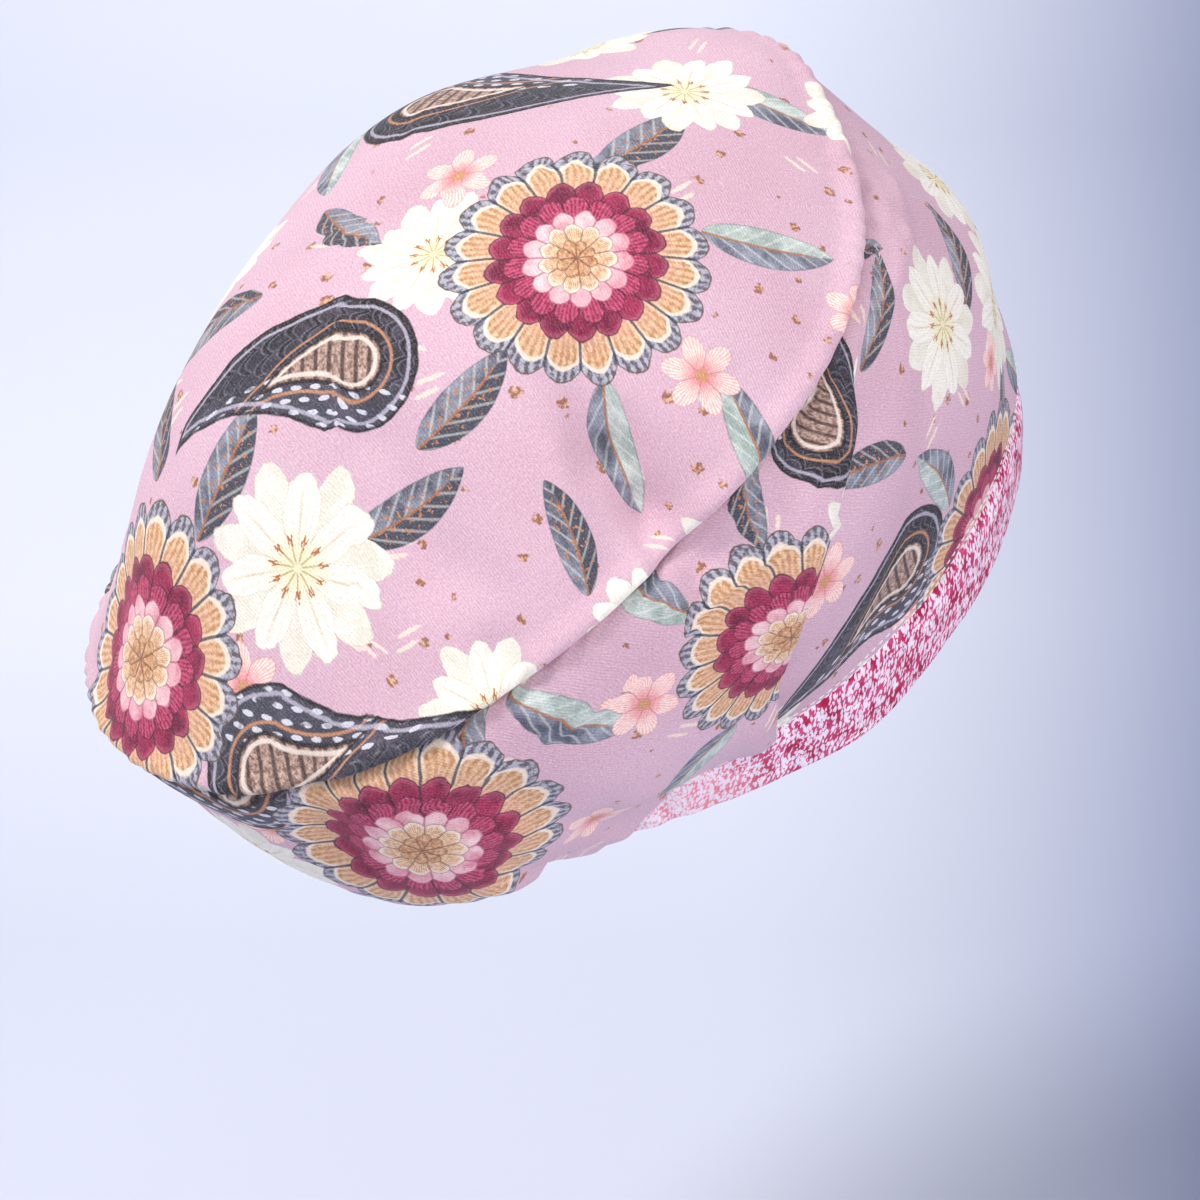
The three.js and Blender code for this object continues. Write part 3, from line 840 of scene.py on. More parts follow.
def plume(g, at, patch, fine):
    """A plump curled teardrop of charcoal scales, pale dashes and a taupe heart."""
    x, y, seed = g.split(at)

    def teardrop(px, py, size):
        """Distance inside a drop whose round end lies at 0 and whose tail curls up to the right."""
        ahead = g.max(px, 0.0)
        side = g.abs(py - ahead * ahead * (0.0135 / size))
        tail = g.pow(g.clamp(1.0 - ahead * (1 / (44.0 * size))), 0.8) * (17.5 * size)
        bulb = 17.5 * size - g.sqrt(px * px + py * py)
        right = g.math("GREATER_THAN", px, 0.0)
        return bulb + ((tail - side) * 0.92 - bulb) * right

    px = x + 13.0
    d = teardrop(px, y, 1.0) + (patch - 0.5) * 1.3
    mask = g.inside(d)
    ahead = g.max(px, 0.0)
    yy = y - ahead * ahead * 0.0135
    base = g.mix(g.ramp(yy + (patch - 0.5) * 10.0, -12.0, 13.0), rgb("#111316"), rgb("#3f4350"))
    base = g.mix(g.ramp(patch, 0.5, 0.72) * 0.35, base, rgb("#6b6078"))
    # scales: rows of small arcs
    row = g.floor(x * (1 / 4.6))
    fx = g.fract(x * (1 / 4.6))
    fy = g.fract(yy * (1 / 5.4) + g.fract(row * 0.5)) - 0.5
    arc = g.abs(fx + fy * fy * 2.1 - 0.66) + (fine - 0.5) * 0.10
    base = g.mix(g.inside(0.12 - arc, 0.06) * g.ramp(yy, 7.0, -2.0) * g.ramp(patch, 0.28, 0.40) * 0.75, base, rgb("#0c0d10"))
    base = g.mix(g.inside(0.055 - g.abs(arc - 0.19), 0.04) * g.ramp(yy, 7.0, -2.0) * 0.4, base, rgb("#7b8092"))
    # pale dashes over the upper part
    lean = x + yy * 0.35
    r2 = g.floor(yy * (1 / 2.9))
    dx = g.fract(lean * (1 / 4.7) + r2 * 0.37) - 0.5
    dy = g.fract(yy * (1 / 2.9)) - 0.5
    dash = g.inside(1.0 - (dx * dx * 13.0 + dy * dy * 22.0) + (fine - 0.5) * 1.2, 0.25) * g.ramp(yy, 1.5, 4.0) * g.ramp(patch, 0.34, 0.44)
    base = g.mix(dash * 0.8, base, rgb("#dfe0ea"))
    # taupe heart with copper bars
    hx, hy = px + 1.0, y + 0.5
    hd = teardrop(hx, hy, 0.44)
    heart = g.mix(g.ramp(fine, 0.35, 0.65), rgb("#7a5c50"), rgb("#c3a391"))
    bar = g.inside(0.15 - g.abs(g.fract(hx * 0.30 + hy * 0.10) - 0.5) + (fine - 0.5) * 0.12, 0.06)
    heart = g.mix(bar * 0.85, heart, rgb("#34231f"))
    heart = g.mix(g.inside(0.5 - g.abs(hd - 1.5), 0.2) * 0.8, heart, rgb("#efdfd0"))
    base = g.mix(g.inside(hd), base, heart)
    base = g.mix(g.inside(0.45 - g.abs(hd), 0.2) * 0.9, base, rgb("#101114"))
    base = g.mix(g.inside(0.36 - g.abs(hd + 2.2), 0.2) * 0.8, base, rgb("#c98a5c"))
    # a lilac line inside the edge, and a dark outline
    base = g.mix(g.inside(0.42 - g.abs(d - 2.2), 0.2) * 0.65, base, rgb("#c2bccf"))
    base = g.mix(g.inside(0.8 - d, 0.2) * 0.9, base, rgb("#14161a"))
    return base, mask


def blossom(g, at, patch, fine, petals=7, radius=21.0):
    """A cream flower with two rows of petals, gold lines and stamens."""
    x, y, seed = g.split(at)
    rho = g.sqrt(x * x + y * y)
    turn = g.atan2(y, x) * (1 / (2 * math.pi)) + seed
    grain = 0.5 + g.sin(turn * (2 * math.pi * 42) + patch * 7.0) * 0.12 + (fine - 0.5) * 0.6
    wob = (patch - 0.5) * 5.0

    def row(n, size, cut, shift):
        t = g.fract(turn * float(n) + shift) - 0.5
        a = g.abs(t)
        # petals swell from the heart and come to a soft point
        edge = size - g.pow(a * 2.0, 1.7) * cut
        return a, edge - rho - wob, (0.5 - a) * (rho * (2 * math.pi / n))

    a, d, side = row(petals, radius, radius * 0.62, 0.5)
    col = g.mix(g.ramp(patch, 0.35, 0.65), rgb("#e2dcc9"), rgb("#f1ede0"))
    col = g.mix(g.ramp(rho, radius * 0.75, radius * 0.3) * 0.5, col, rgb("#dcd9bd"))
    col = g.mix(g.inside(0.22 - d, 0.2) * 0.55, col, rgb("#b9a98c"))
    mask = g.inside(d)
    a, d, side = row(petals, radius * 0.9, radius * 0.58, 0.0)
    front = g.mix(g.ramp(grain, 0.35, 0.65), rgb("#ece7d6"), rgb("#f6f4ea"))
    front = g.mix(g.ramp(a, 0.045, 0.0) * g.ramp(rho, radius * 0.8, radius * 0.5) * 0.6, front, rgb("#c9a56a"))
    front = g.mix(g.ramp(rho, radius * 0.42, radius * 0.12) * 0.75, front, rgb("#e7e2a6"))
    front = g.mix(g.max(g.inside(0.2 - d, 0.2), g.inside(0.16 - side, 0.12) * g.ramp(rho, radius * 0.2, radius * 0.35)) * 0.6, front, rgb("#a8936f"))
    col = g.mix(g.inside(d), col, front)
    mask = g.max(mask, g.inside(d))
    # stamens
    n = 11
    t = g.abs(g.fract(turn * float(n) + 0.25) - 0.5)
    way = t * (rho * (2 * math.pi / n))
    out = 5.4 + (grain - 0.5) * 5.0
    stalk = g.inside(0.17 - way, 0.12) * g.inside(out - rho, 0.2) * g.inside(rho - 1.0, 0.3)
    head = g.inside(0.72 - g.sqrt(way * way + (rho - out) * (rho - out)), 0.15)
    col = g.mix(stalk * 0.8, col, rgb("#b98a3a"))
    col = g.mix(head, col, rgb("#b4692c"))
    return col, mask


def leaf(g, at, patch, fine):
    """A pointed leaf, one half sage and one half slate, with a copper rib."""
    x, y, seed = g.split(at)
    yy = y - x * x * 0.008 + 0.9
    t = g.clamp((x + 15.0) * (1 / 30.0))
    width = g.pow(t, 0.62) * g.pow(g.clamp(1.0 - t), 0.75) * 13.5
    d = width - g.abs(yy)
    mask = g.inside(d - 0.15) * g.inside(x + 14.9, 0.1)
    dark = g.math("GREATER_THAN", g.fract(seed * 7.31), 0.45)
    sage = g.mix(g.ramp(patch, 0.35, 0.65), rgb("#8fa39b"), rgb("#c3d0c8"))
    slate = g.mix(g.ramp(patch, 0.35, 0.65), rgb("#4b5363"), rgb("#8d94a3"))
    top = g.mix(dark, sage, slate)
    low = g.mix(dark, slate, rgb("#3c4350"))
    col = g.mix(g.inside(yy, 0.25), low, top)
    vein = g.inside(0.10 - g.abs(g.fract((x - g.abs(yy) * 1.4) * 0.22) - 0.5), 0.07)
    col = g.mix(vein * 0.35, col, rgb("#e8ebe4"))
    spark = g.ramp(fine, 0.60, 0.66)
    col = g.mix(spark * dark * g.ramp(d, 0.8, 1.6), col, rgb("#b97a4e"))
    col = g.mix(g.inside(0.3 - g.abs(yy), 0.15) * g.ramp(x, 11.0, 7.0) * 0.85, col, rgb("#a9683a"))
    col = g.mix(g.inside(0.42 - d, 0.2) * 0.5, col, rgb("#343a46"))
    return col, mask


def floret(g, at, patch, fine):
    """A small coral flower with streaked petals."""
    x, y, seed = g.split(at)
    rho = g.sqrt(x * x + y * y)
    turn = g.atan2(y, x) * (1 / (2 * math.pi)) + seed
    grain = 0.5 + g.sin(turn * (2 * math.pi * 60) + patch * 6.0) * 0.16 + (fine - 0.5) * 0.5
    t = g.fract(turn * 6.0) - 0.5
    a = g.abs(t)
    d = 9.5 - g.pow(a * 2.0, 1.8) * 4.6 - rho
    side = (0.5 - a) * (rho * (2 * math.pi / 6))
    col = g.mix(g.ramp(grain, 0.35, 0.65), rgb("#f2b3a6"), rgb("#fde3dc"))
    col = g.mix(g.ramp(rho, 5.5, 1.5) * 0.7, col, rgb("#d9566a"))
    col = g.mix(g.max(g.inside(0.14 - side, 0.1), g.inside(0.2 - d, 0.15)) * 0.6, col, rgb("#c0566a"))
    col = g.mix(g.inside(1.5 - rho, 0.3), col, rgb("#c9905f"))
    return col, g.inside(d)


def finish_cloth(g, colour, height, rough=0.86, sheen=0.16, bump=0.25, tint=None):
    b = g.new("ShaderNodeBsdfPrincipled")
    g.put(b.inputs["Base Color"], colour)
    b.inputs["Roughness"].default_value = rough
    b.inputs["Specular IOR Level"].default_value = 0.22
    b.inputs["Sheen Weight"].default_value = sheen
    b.inputs["Sheen Roughness"].default_value = 0.5
    if height is not None:
        n = g.new("ShaderNodeBump")
        n.inputs["Strength"].default_value = bump
        n.inputs["Distance"].default_value = 0.0006
        g.put(n.inputs["Height"], height)
        g.put(b.inputs["Normal"], n.outputs[0])
    out = g.new("ShaderNodeOutputMaterial")
    g.tree.links.new(b.outputs[0], out.inputs[0])
    return g.mat


KINDS = (("m_leaf", leaf, 1.5), ("m_bloom", blossom, 1.2), ("m_floret", floret, 1.35), ("m_plume", plume, 1.45), ("m_rosette", rosette, 1.15))
# name of the version, and the motifs it can show; the last column above is how far a motif reaches
VERSIONS = (("printed_jersey", ("m_leaf", "m_bloom", "m_floret", "m_plume", "m_rosette")),
            ("printed_jersey_ground", ()),
            ("printed_jersey_small", ("m_leaf", "m_bloom", "m_floret")),
            ("printed_jersey_plume", ("m_leaf", "m_bloom", "m_floret", "m_plume")),
            ("printed_jersey_rosette", ("m_leaf", "m_bloom", "m_floret", "m_rosette")))


GROUND = ("#cfa5b6", "#d7b0c1")


def print_material(name, kinds):
    g = Graph(name)
    place = g.attribute("cut")        # x, y in mm on the flat cloth, and a number for the panel
    u, v, w = g.split(place)
    across = g.split(g.attribute("rib"))
    ac, al = across[0], across[1]

    # ground: dusty pink, a little uneven, with fine ribs of paler stitches
    tone = g.noise(g.vec(u * 0.02, v * 0.02, w), 1.0, 2.0, 0.55)
    patch = g.noise(g.vec(u * 0.11, v * 0.11, w), 1.0, 3.0, 0.6)    # watercolour blooms
    fleck = g.noise(g.vec(u * 0.75, v * 0.75, w), 1.0, 2.0, 0.6)    # brush grain
    fine = g.noise(g.vec(ac * 1.6, al * 0.55, w), 1.0, 2.0, 0.7)
    rib = g.sin(ac * (2 * math.pi / 0.80) + fine * 2.6)
    ground = g.mix(g.ramp(tone, 0.3, 0.7), rgb(GROUND[0]), rgb(GROUND[1]))

    # copper specks in loose drifts
    c = g.cells(g.vec(u + 300.0, v + 300.0, 0.0), 1 / 12.5)
    pos = g.split(c.outputs["Position"])
    cell = g.split(c.outputs["Color"])
    lx, ly = u + 300.0 - pos[0] * 1.0, v + 300.0 - pos[1] * 1.0
    shape = fleck
    size = 0.5 + cell[0] * 1.15
    dist = g.sqrt(lx * lx + ly * ly) + (shape - 0.5) * 2.0
    keep = g.math("GREATER_THAN", cell[1], 0.42)
    speck = g.inside(size - dist, 0.22) * keep
    speck_col = g.mix(g.ramp(shape, 0.45, 0.6), rgb("#8e5530"), rgb("#dca878"))
    ground = g.mix(speck * 0.9, ground, speck_col)

    # pairs of short cream dashes
    c = g.cells(g.vec(u + 911.0, v + 417.0, 7.0), 1 / 34.0)
    pos = g.split(c.outputs["Position"])
    cell = g.split(c.outputs["Color"])
    lx, ly = u + 911.0 - pos[0], v + 417.0 - pos[1]
    turn = cell[0] * 3.14159
    cs, sn = g.cos(turn), g.sin(turn)
    rx, ry = lx * cs + ly * sn, ly * cs - lx * sn
    dash = g.inside(1.0 - g.abs(g.abs(ry) - 1.5) * 1.7 - g.math("POWER", g.abs(rx - g.floor(ry * 0.5 + 0.5) * 1.1) * 0.27, 4.0) + (shape - 0.5) * 1.4, 0.35)
    dash = dash * g.math("GREATER_THAN", cell[1], 0.3)
    ground = g.mix(dash * 0.75, ground, rgb("#f7e3c9"))

    col = ground
    for kind, draw, reach in KINDS:
        if kind in kinds:
            c, m = draw(g, g.attribute(kind), patch, fleck)
            col = g.mix(m, col, c)

    # the ink sits on knitted ribs: flecks of white and darker yarn show, and each rib is paler along its crest and
    # darker in its trough, a painted highlight and painted shade of the rib
    grain = g.noise(g.vec(ac * 2.4, al * 1.7, w), 1.0, 1.0, 0.5)
    lighter = g.mix(0.09 + g.split(col)[1] * 0.55, col, rgb("#fdf6f8"))
    # partly painted highlight: the rib term lightens the rib crests; the other terms are white yarn flecks
    pale = g.ramp(rib, -0.2, 1.0) * 0.20 + g.ramp(fine, 0.48, 0.80) * 0.42 + g.ramp(grain, 0.50, 0.72) * 0.62
    col = g.mix(pale, col, lighter)
    # partly painted shade: the rib term darkens the rib troughs; the other terms are darker yarn flecks
    rib_shade_and_dark_flecks = g.ramp(rib, 0.0, -1.0) * 0.05 + g.ramp(fine, 0.45, 0.2) * 0.07 + g.ramp(grain, 0.46, 0.28) * 0.14
    col = g.mix(rib_shade_and_dark_flecks, col, rgb("#7d4a60"))
    height = rib * 0.35 + fine * 1.0
    return finish_cloth(g, col, height, bump=0.16, sheen=0.10)


def wrong_side_material():
    g = Graph("jersey_wrong_side")
    across = g.split(g.attribute("rib"))
    ac, al = across[0], across[1]
    rib = g.sin(al * (2 * math.pi / 0.9) + g.sin(ac * (2 * math.pi / 0.8)) * 0.6)
    tone = g.noise(g.vec(ac * 0.03, al * 0.03, 1.0), 1.0, 3.0)
    col = g.mix(g.ramp(tone, 0.3, 0.7), rgb("#ead9dd"), rgb("#f4e9ec"))
    # the print shows through faintly
    c, m = rosette(g, g.attribute("m_rosette"), tone, tone)
    col = g.mix(m * 0.16, col, c)
    c, m = plume(g, g.attribute("m_plume"), tone, tone)
    col = g.mix(m * 0.22, col, c)
    # painted highlight: whiter along the rib crests
    col = g.mix(g.ramp(rib, 0.0, 1.0) * 0.10, col, rgb("#ffffff"))
    return finish_cloth(g, col, rib, bump=0.2)


def band_material():
    g = Graph("speckled_band_cotton")
    u, v, w = g.split(g.attribute("cut"))   # mm along and up the band
    tone = g.noise(g.vec(u * 0.028, v * 0.03, 3.0), 1.0, 2.0)
    patch = g.noise(g.vec(u * 0.16, v * 0.16, 5.0), 1.0, 3.0, 0.6)
    deep = g.mix(g.ramp(patch, 0.36, 0.64), rgb("#aa1b47"), rgb("#d9508a"))
    coral = g.mix(g.ramp(patch, 0.38, 0.62), rgb("#e0405a"), rgb("#f08ca0"))
    warm = g.ramp(w, 0.0, 1.0)
    ground = g.mix(warm, deep, coral)
    # short pale dabs that lean with the weave
    total = None
    for k, (size, share, lean) in enumerate(((1.45, 0.34, 0.5), (1.05, 0.38, 0.8), (1.85, 0.62, 0.3))):
        a = u + v * lean
        c = g.cells(g.vec(a * (1 / (0.72 * size)), v * (1 / (1.55 * size)), 11.0 * k + 2.0), 1.0, 0.9)
        cell = g.split(c.outputs["Color"])
        dab = g.inside(0.39 - Val(g, c.outputs["Distance"]) + (cell[0] - 0.5) * 0.20, 0.06)
        dab = dab * g.math("GREATER_THAN", cell[1] + (patch - 0.5) * 1.1 + warm * 0.15, share + 0.12)
        total = dab if total is None else g.max(total, dab)
    pale = g.mix(g.ramp(patch, 0.3, 0.7), rgb("#e6cbe6"), rgb("#f7eef6"))
    col = g.mix(total, ground, pale)
    col = g.mix(warm * 0.28, col, rgb("#fbe9ee"))
    weave = g.sin(u * (2 * math.pi / 0.45)) * g.sin(v * (2 * math.pi / 0.45))
    return finish_cloth(g, col, weave, bump=0.12, sheen=0.1)


def thread_material():
    g = Graph("white_thread")
    return finish_cloth(g, rgb("#f6eef4"), None, rough=0.6, sheen=0.05)


# =============================================================================
# the print's layout, in mm on the flat cloth: a repeat of 214 by 188, half dropped
# =============================================================================
TILE = (214.0, 188.0)
MOTIFS = {  # name: (half length, half width, [(x, y, turn in degrees, size, seed), ...])
    "m_rosette": (32.5, 32.5, [(56, 134, 0, 1.25, 0.13), (166, 50, 0, 1.05, 0.61)]),
    "m_plume": (38.0, 30.0, [(116, 100, -14, 1.22, 0.4), (108, 14, 172, 1.0, 0.8)]),
    "m_bloom": (22.0, 22.0, [(18, 82, 20, 1.1, 0.31), (112, 152, 0, 1.2, 0.72), (164, 120, 50, 1.0, 0.55), (56, 50, 10, 1.05, 0.05), (132, 44, 0, 0.9, 0.44), (206, 148, 0, 0.95, 0.9)]),
    "m_floret": (10.0, 10.0, [(94, 124, 0, 1.2, 0.2), (128, 68, 0, 1.1, 0.9), (204, 34, 0, 1.1, 0.6), (20, 168, 0, 1.1, 0.35), (38, 84, 0, 0.9, 0.7)]),
    "m_leaf": (16.0, 6.5, [(6, 118, 128, 1.2, 0.11), (92, 174, 60, 1.2, 0.52), (80, 84, -72, 1.2, 0.23), (140, 168, 40, 1.15, 0.34), (186, 130, 12, 1.2, 0.67),
                           (166, 92, 78, 1.2, 0.78), (206, 78, 28, 1.2, 0.15), (190, 8, -58, 1.15, 0.93), (76, 24, 200, 1.2, 0.41), (28, 52, 215, 1.15, 0.88),
                           (62, 4, 104, 1.1, 0.29), (30, 108, 60, 1.1, 0.59), (150, 8, 60, 1.1, 0.7), (104, 52, -30, 1.0, 0.19), (180, 168, 120, 1.0, 0.47)]),
}


def motif_places(uv, group_shift, angle=0.0):
    """For each face's middle on the flat cloth, the nearest motif of each kind: (centre, turn, size, seed)."""
    lo, hi = uv.min(0) - 60, uv.max(0) + 60
    out = {}
    for name, (ha, hb, items) in MOTIFS.items():
        inst = []
        for ti in range(int((lo[0] - group_shift[0]) // TILE[0]) - 1, int((hi[0] - group_shift[0]) // TILE[0]) + 2):
            for tj in range(int((lo[1] - group_shift[1]) // TILE[1]) - 2, int((hi[1] - group_shift[1]) // TILE[1]) + 2):
                drop = TILE[1] / 2 if ti % 2 else 0.0
                for k, (x, y, turn, size, seed) in enumerate(items):
                    extra = hashed(np.int64(ti), np.int64(tj), np.int64(k), 17)
                    inst.append((x + ti * TILE[0] + group_shift[0], y + tj * TILE[1] + drop + group_shift[1],
                                 math.radians(turn), size, (seed + 0.37 * float(extra)) % 1.0))
        inst = np.array(inst)
        inst = inst[(inst[:, 0] > lo[0]) & (inst[:, 0] < hi[0]) & (inst[:, 1] > lo[1]) & (inst[:, 1] < hi[1])]
        best = np.full(len(uv), 1e9)       # 1 is the motif's edge
        pick = np.zeros(len(uv), int)
        for i, (x, y, a, size, seed) in enumerate(inst):
            dx, dy = uv[:, 0] - x, uv[:, 1] - y
            c, s = math.cos(a), math.sin(a)
            lx, ly = (dx * c + dy * s) / (ha * size), (dy * c - dx * s) / (hb * size)
            m = np.sqrt(lx * lx + ly * ly)
            near = m < best
            best[near] = m[near]
            pick[near] = i
        out[name] = inst[pick], best
    return out


def add_print(ob, uv, faces, shift, panel):
    """Writes the flat cloth's coordinates, and those of the nearest motifs, on the mesh's corners."""
    me = ob.data
    corner = uv[faces]                       # (faces, 4, 2)
    mid = corner.mean(1)
    def store(name, values):
        at = me.attributes.new(name, "FLOAT_VECTOR", "CORNER")
        at.data.foreach_set("vector", np.ascontiguousarray(values, np.float32).ravel())
    z = np.full(corner.shape[:2] + (1,), float(panel))
    store("cut", np.concatenate([corner, z], -1))
    reach = {kind: r for kind, draw, r in KINDS}
    bits = {"m_plume": 2, "m_rosette": 4}
    seen = np.zeros(len(faces), int)
    for name, (pick, best) in motif_places(mid, shift).items():
        seen |= np.where(best < reach[name], bits.get(name, 1), 0)
        c, s = np.cos(pick[:, 2])[:, None], np.sin(pick[:, 2])[:, None]
        dx, dy = corner[..., 0] - pick[:, 0:1], corner[..., 1] - pick[:, 1:2]
        lx, ly = (dx * c + dy * s) / pick[:, 3:4], (dy * c - dx * s) / pick[:, 3:4]
        seed = np.broadcast_to(pick[:, 4:5], lx.shape)
        store(name, np.stack([lx, ly, seed], -1))
    # slots: 0 all motifs, 1 the wrong side, then the versions with fewer
    slot = np.select([seen == 0, seen == 1, (seen & 6) == 2, (seen & 6) == 4], [2, 3, 4, 5], 0)
    me.polygons.foreach_set("material_index", slot.astype(np.int32))


def add_ribs(ob, across, along, faces):
    me = ob.data
    at = me.attributes.new("rib", "FLOAT_VECTOR", "POINT")
    at.data.foreach_set("vector", np.stack([across, along, 0 * across], -1).astype(np.float32).ravel())


def solid(ob, thick, rim=True, tight=None):
    """Gives the cloth its thickness, inward. tight: for each point, 0 where the cloth folds too tightly for all of it, else 1."""
    outer = len(ob.data.polygons)
    m = ob.modifiers.new("thickness", "SOLIDIFY")
    m.thickness = thick * MM
    m.offset = -1.0
    m.use_rim = rim
    m.use_even_offset = False
    m.material_offset = 0
    m.material_offset_rim = 0
    if tight is not None:
        group = ob.vertex_groups.new(name="thickness")
        for w in np.unique(tight):
            group.add([int(i) for i in np.nonzero(tight == w)[0]], float(w), "REPLACE")
        m.vertex_group = group.name
        m.thickness_vertex_group = 0.25
    bpy.context.view_layer.objects.active = ob
    with bpy.context.temp_override(object=ob, active_object=ob, selected_objects=[ob]):
        bpy.ops.object.modifier_apply(modifier=m.name)
    # the modifier adds the inner wall's faces right after the outer wall's, then the rim's
    me = ob.data
    index = np.zeros(len(me.polygons), np.int32)
    me.polygons.foreach_get("material_index", index)
    index[outer:2 * outer] = 1
    me.polygons.foreach_set("material_index", index)


# =============================================================================
# build the pieces
# =============================================================================
PRINTS = [print_material(*v) for v in VERSIONS]
WRONG, BAND, THREAD = wrong_side_material(), band_material(), thread_material()
JERSEY = [PRINTS[0], WRONG] + PRINTS[1:]


def interp_rows(values, at, x):
    """values (n, ...) at increasing places at, read at x."""
    out = np.empty((len(x),) + values.shape[1:])
    flat = values.reshape(len(at), -1)
    res = np.stack([np.interp(x, at, flat[:, k]) for k in range(flat.shape[1])], -1)
    return res.reshape(out.shape)


def flatten_grid(g, row_pick, col_pick):
    """Flat coordinates for every point of an open grid, from an unwrap of some rows and columns."""
    small = g[row_pick][:, col_pick]
    f = grid_faces(len(row_pick), len(col_pick), False)
    uv, area = unwrap(small.reshape(-1, 3), f)
    uv = uv.reshape(len(row_pick), len(col_pick), 2)
    rows, cols = g.shape[:2]
    # places measured along the cloth, so that in-between points fall where they should
    steps = np.linalg.norm(np.diff(g, axis=1), axis=-1).mean(0)
    along = np.concatenate([[0], np.cumsum(steps)])
    rstep = np.linalg.norm(np.diff(g, axis=0), axis=-1).mean(1)
    upward = np.concatenate([[0], np.cumsum(rstep)])
    a = np.stack([interp_rows(uv[i], along[col_pick], along) for i in range(len(row_pick))])
    b = interp_rows(a, upward[row_pick], upward)
    return b, area


def picks(n, step, keep=()):
    got = set(range(0, n, step)) | {n - 1} | set(keep)
    return np.array(sorted(got))


# ---- side panel
G, S, R = side_panel_grid()
rows, cols = G.shape[:2]
half = N_BACK + len(pleat_profile()[0])
keep_cols = list(range(N_BACK, N_BACK + len(pleat_profile()[0]))) + [cols - 1 - c for c in range(N_BACK, N_BACK + len(pleat_profile()[0]))]
rp = picks(rows, 6, (1, rows - 2))
cp = picks(cols, 4, keep_cols)
side_uv, side_area = flatten_grid(G, rp, cp)
nrow, mid = rows // 2, cols // 2
suv = side_uv.reshape(-1, 2)
# the way round the head, seen on the right side, is level on the print
i0 = (rows // 3) * cols + cols - 1 - N_BACK // 2
i1 = (rows // 3) * cols + cols - 1 - N_BACK + 4
suv = turned(suv, i0, i1, math.pi)
SIDE_UV = suv.reshape(rows, cols, 2)
faces = grid_faces(rows, cols, False)
side = make_object("side_panel_cloth", G.reshape(-1, 3), faces, np.zeros(len(faces)), "root", ("side_panel_front", "side_panel_back_right", "side_panel_back_left"), JERSEY, "print_jersey")
add_print(side, suv, faces, (-58.0, 12.0), 2.0)
add_ribs(side, (suv[:, 0] + suv[:, 1]) * 0.7071, (suv[:, 1] - suv[:, 0]) * 0.7071, faces)
tight = np.ones((rows, cols))
for c in range(5, 44):
    w = 0.0 if 8 <= c <= 40 else 0.5
    tight[:, cols // 2 + N_FRONT + c] = w
    tight[:, cols // 2 - N_FRONT - c] = w
solid(side, 0.85, tight=tight.ravel())

# ---- crown panel
CG, CS, CR = crown_grid()
n = CG.shape[0]
cp2 = picks(n, 5)
crown_uv, crown_area = flatten_grid(CG, cp2, cp2)
cuv = crown_uv.reshape(-1, 2)
cfaces = grid_faces(n, n, False)
# outward side: the faces must look away from the middle
c0 = CG.reshape(-1, 3)[cfaces]
nn = np.cross(c0[:, 1] - c0[:, 0], c0[:, 2] - c0[:, 1])
if (nn * (c0.mean(1) - np.array([0, 40, 60]))).sum() < 0:
    cfaces = cfaces[:, ::-1].copy()
    cuv = cuv * np.array([-1, 1])


def nearest(points, target):
    return int(((points - np.array(target)) ** 2).sum(1).argmin())


# ---- the camera's directions, also used to lay the print the way it is seen
VIEW_TURN, VIEW_UP = 0.93041, 0.42861
AIM_X, AIM_Y, AWAY, LENS_PX = 37.9, -7.4, 950.0, 3275.9
st, ct, se, ce = math.sin(VIEW_TURN), math.cos(VIEW_TURN), math.sin(VIEW_UP), math.cos(VIEW_UP)
CAM_R = np.array([-ct, -st, 0.0])
CAM_U = np.array([st * se, -ct * se, ce])
CAM_B = np.array([-st * ce, ct * ce, se])
CAM_AT = -AIM_X * CAM_R - AIM_Y * CAM_U + AWAY * CAM_B

flat_pts = CG.reshape(-1, 3)
p0 = form(2.4, 6.5)
i0 = nearest(flat_pts, p0)
lean = math.radians(12)
i1 = nearest(flat_pts, p0 + 35 * (CAM_U * math.cos(lean) + CAM_R * math.sin(lean)))
cuv = turned(cuv, i0, i1, math.pi / 2)
crown = make_object("crown_panel_cloth", flat_pts, cfaces, np.zeros(len(cfaces)), "root", "crown_panel", JERSEY, "print_jersey")
add_print(crown, cuv, cfaces, (52.0, 92.0), 5.0)
add_ribs(crown, (cuv[:, 0] + cuv[:, 1]) * 0.7071, (cuv[:, 1] - cuv[:, 0]) * 0.7071, cfaces)
solid(crown, 0.85)

# ---- band: one loop of doubled cloth, folded at the bottom
BG, BS = band_grid()
brows, bcols = BG.shape[:2]
bfaces = closed_both(brows, bcols)
band = make_object("band_cloth", BG.reshape(-1, 3), bfaces, np.zeros(len(bfaces)), "root", "band", [BAND], "band_fabric")
around = np.linalg.norm(np.diff(np.concatenate([BG, BG[:, :1]], 1), axis=1), axis=-1)
ring_mid = around[brows - 6]
along = np.concatenate([[0], np.cumsum(ring_mid)])[:-1]
upw = np.concatenate([[0], np.cumsum(np.linalg.norm(np.diff(BG, axis=0), axis=-1).mean(1))])
warmth = smooth((BS - 2.42) / 0.35) * smooth((5.6 - BS) / 0.35)
bu = np.broadcast_to(along[None], (brows, bcols))
bv = np.broadcast_to(upw[:, None], (brows, bcols))
bw = np.broadcast_to(warmth[None], (brows, bcols))
band_vals = np.stack([bu, bv, bw], -1).reshape(-1, 3)
corner = band_vals[bfaces]
wrap = corner[..., 0].max(1) - corner[..., 0].min(1) > 100
corner[wrap] = np.where(corner[wrap][..., :1] < 100, corner[wrap] + np.array([ring_mid.sum(), 0, 0]), corner[wrap])
wrapv = corner[..., 1].max(1) - corner[..., 1].min(1) > 20
corner[wrapv] = np.where(corner[wrapv][..., 1:2] < 10, corner[wrapv] + np.array([0, upw[-1] + 2, 0]), corner[wrapv])
at = band.data.attributes.new("cut", "FLOAT_VECTOR", "CORNER")
at.data.foreach_set("vector", np.ascontiguousarray(corner, np.float32).ravel())


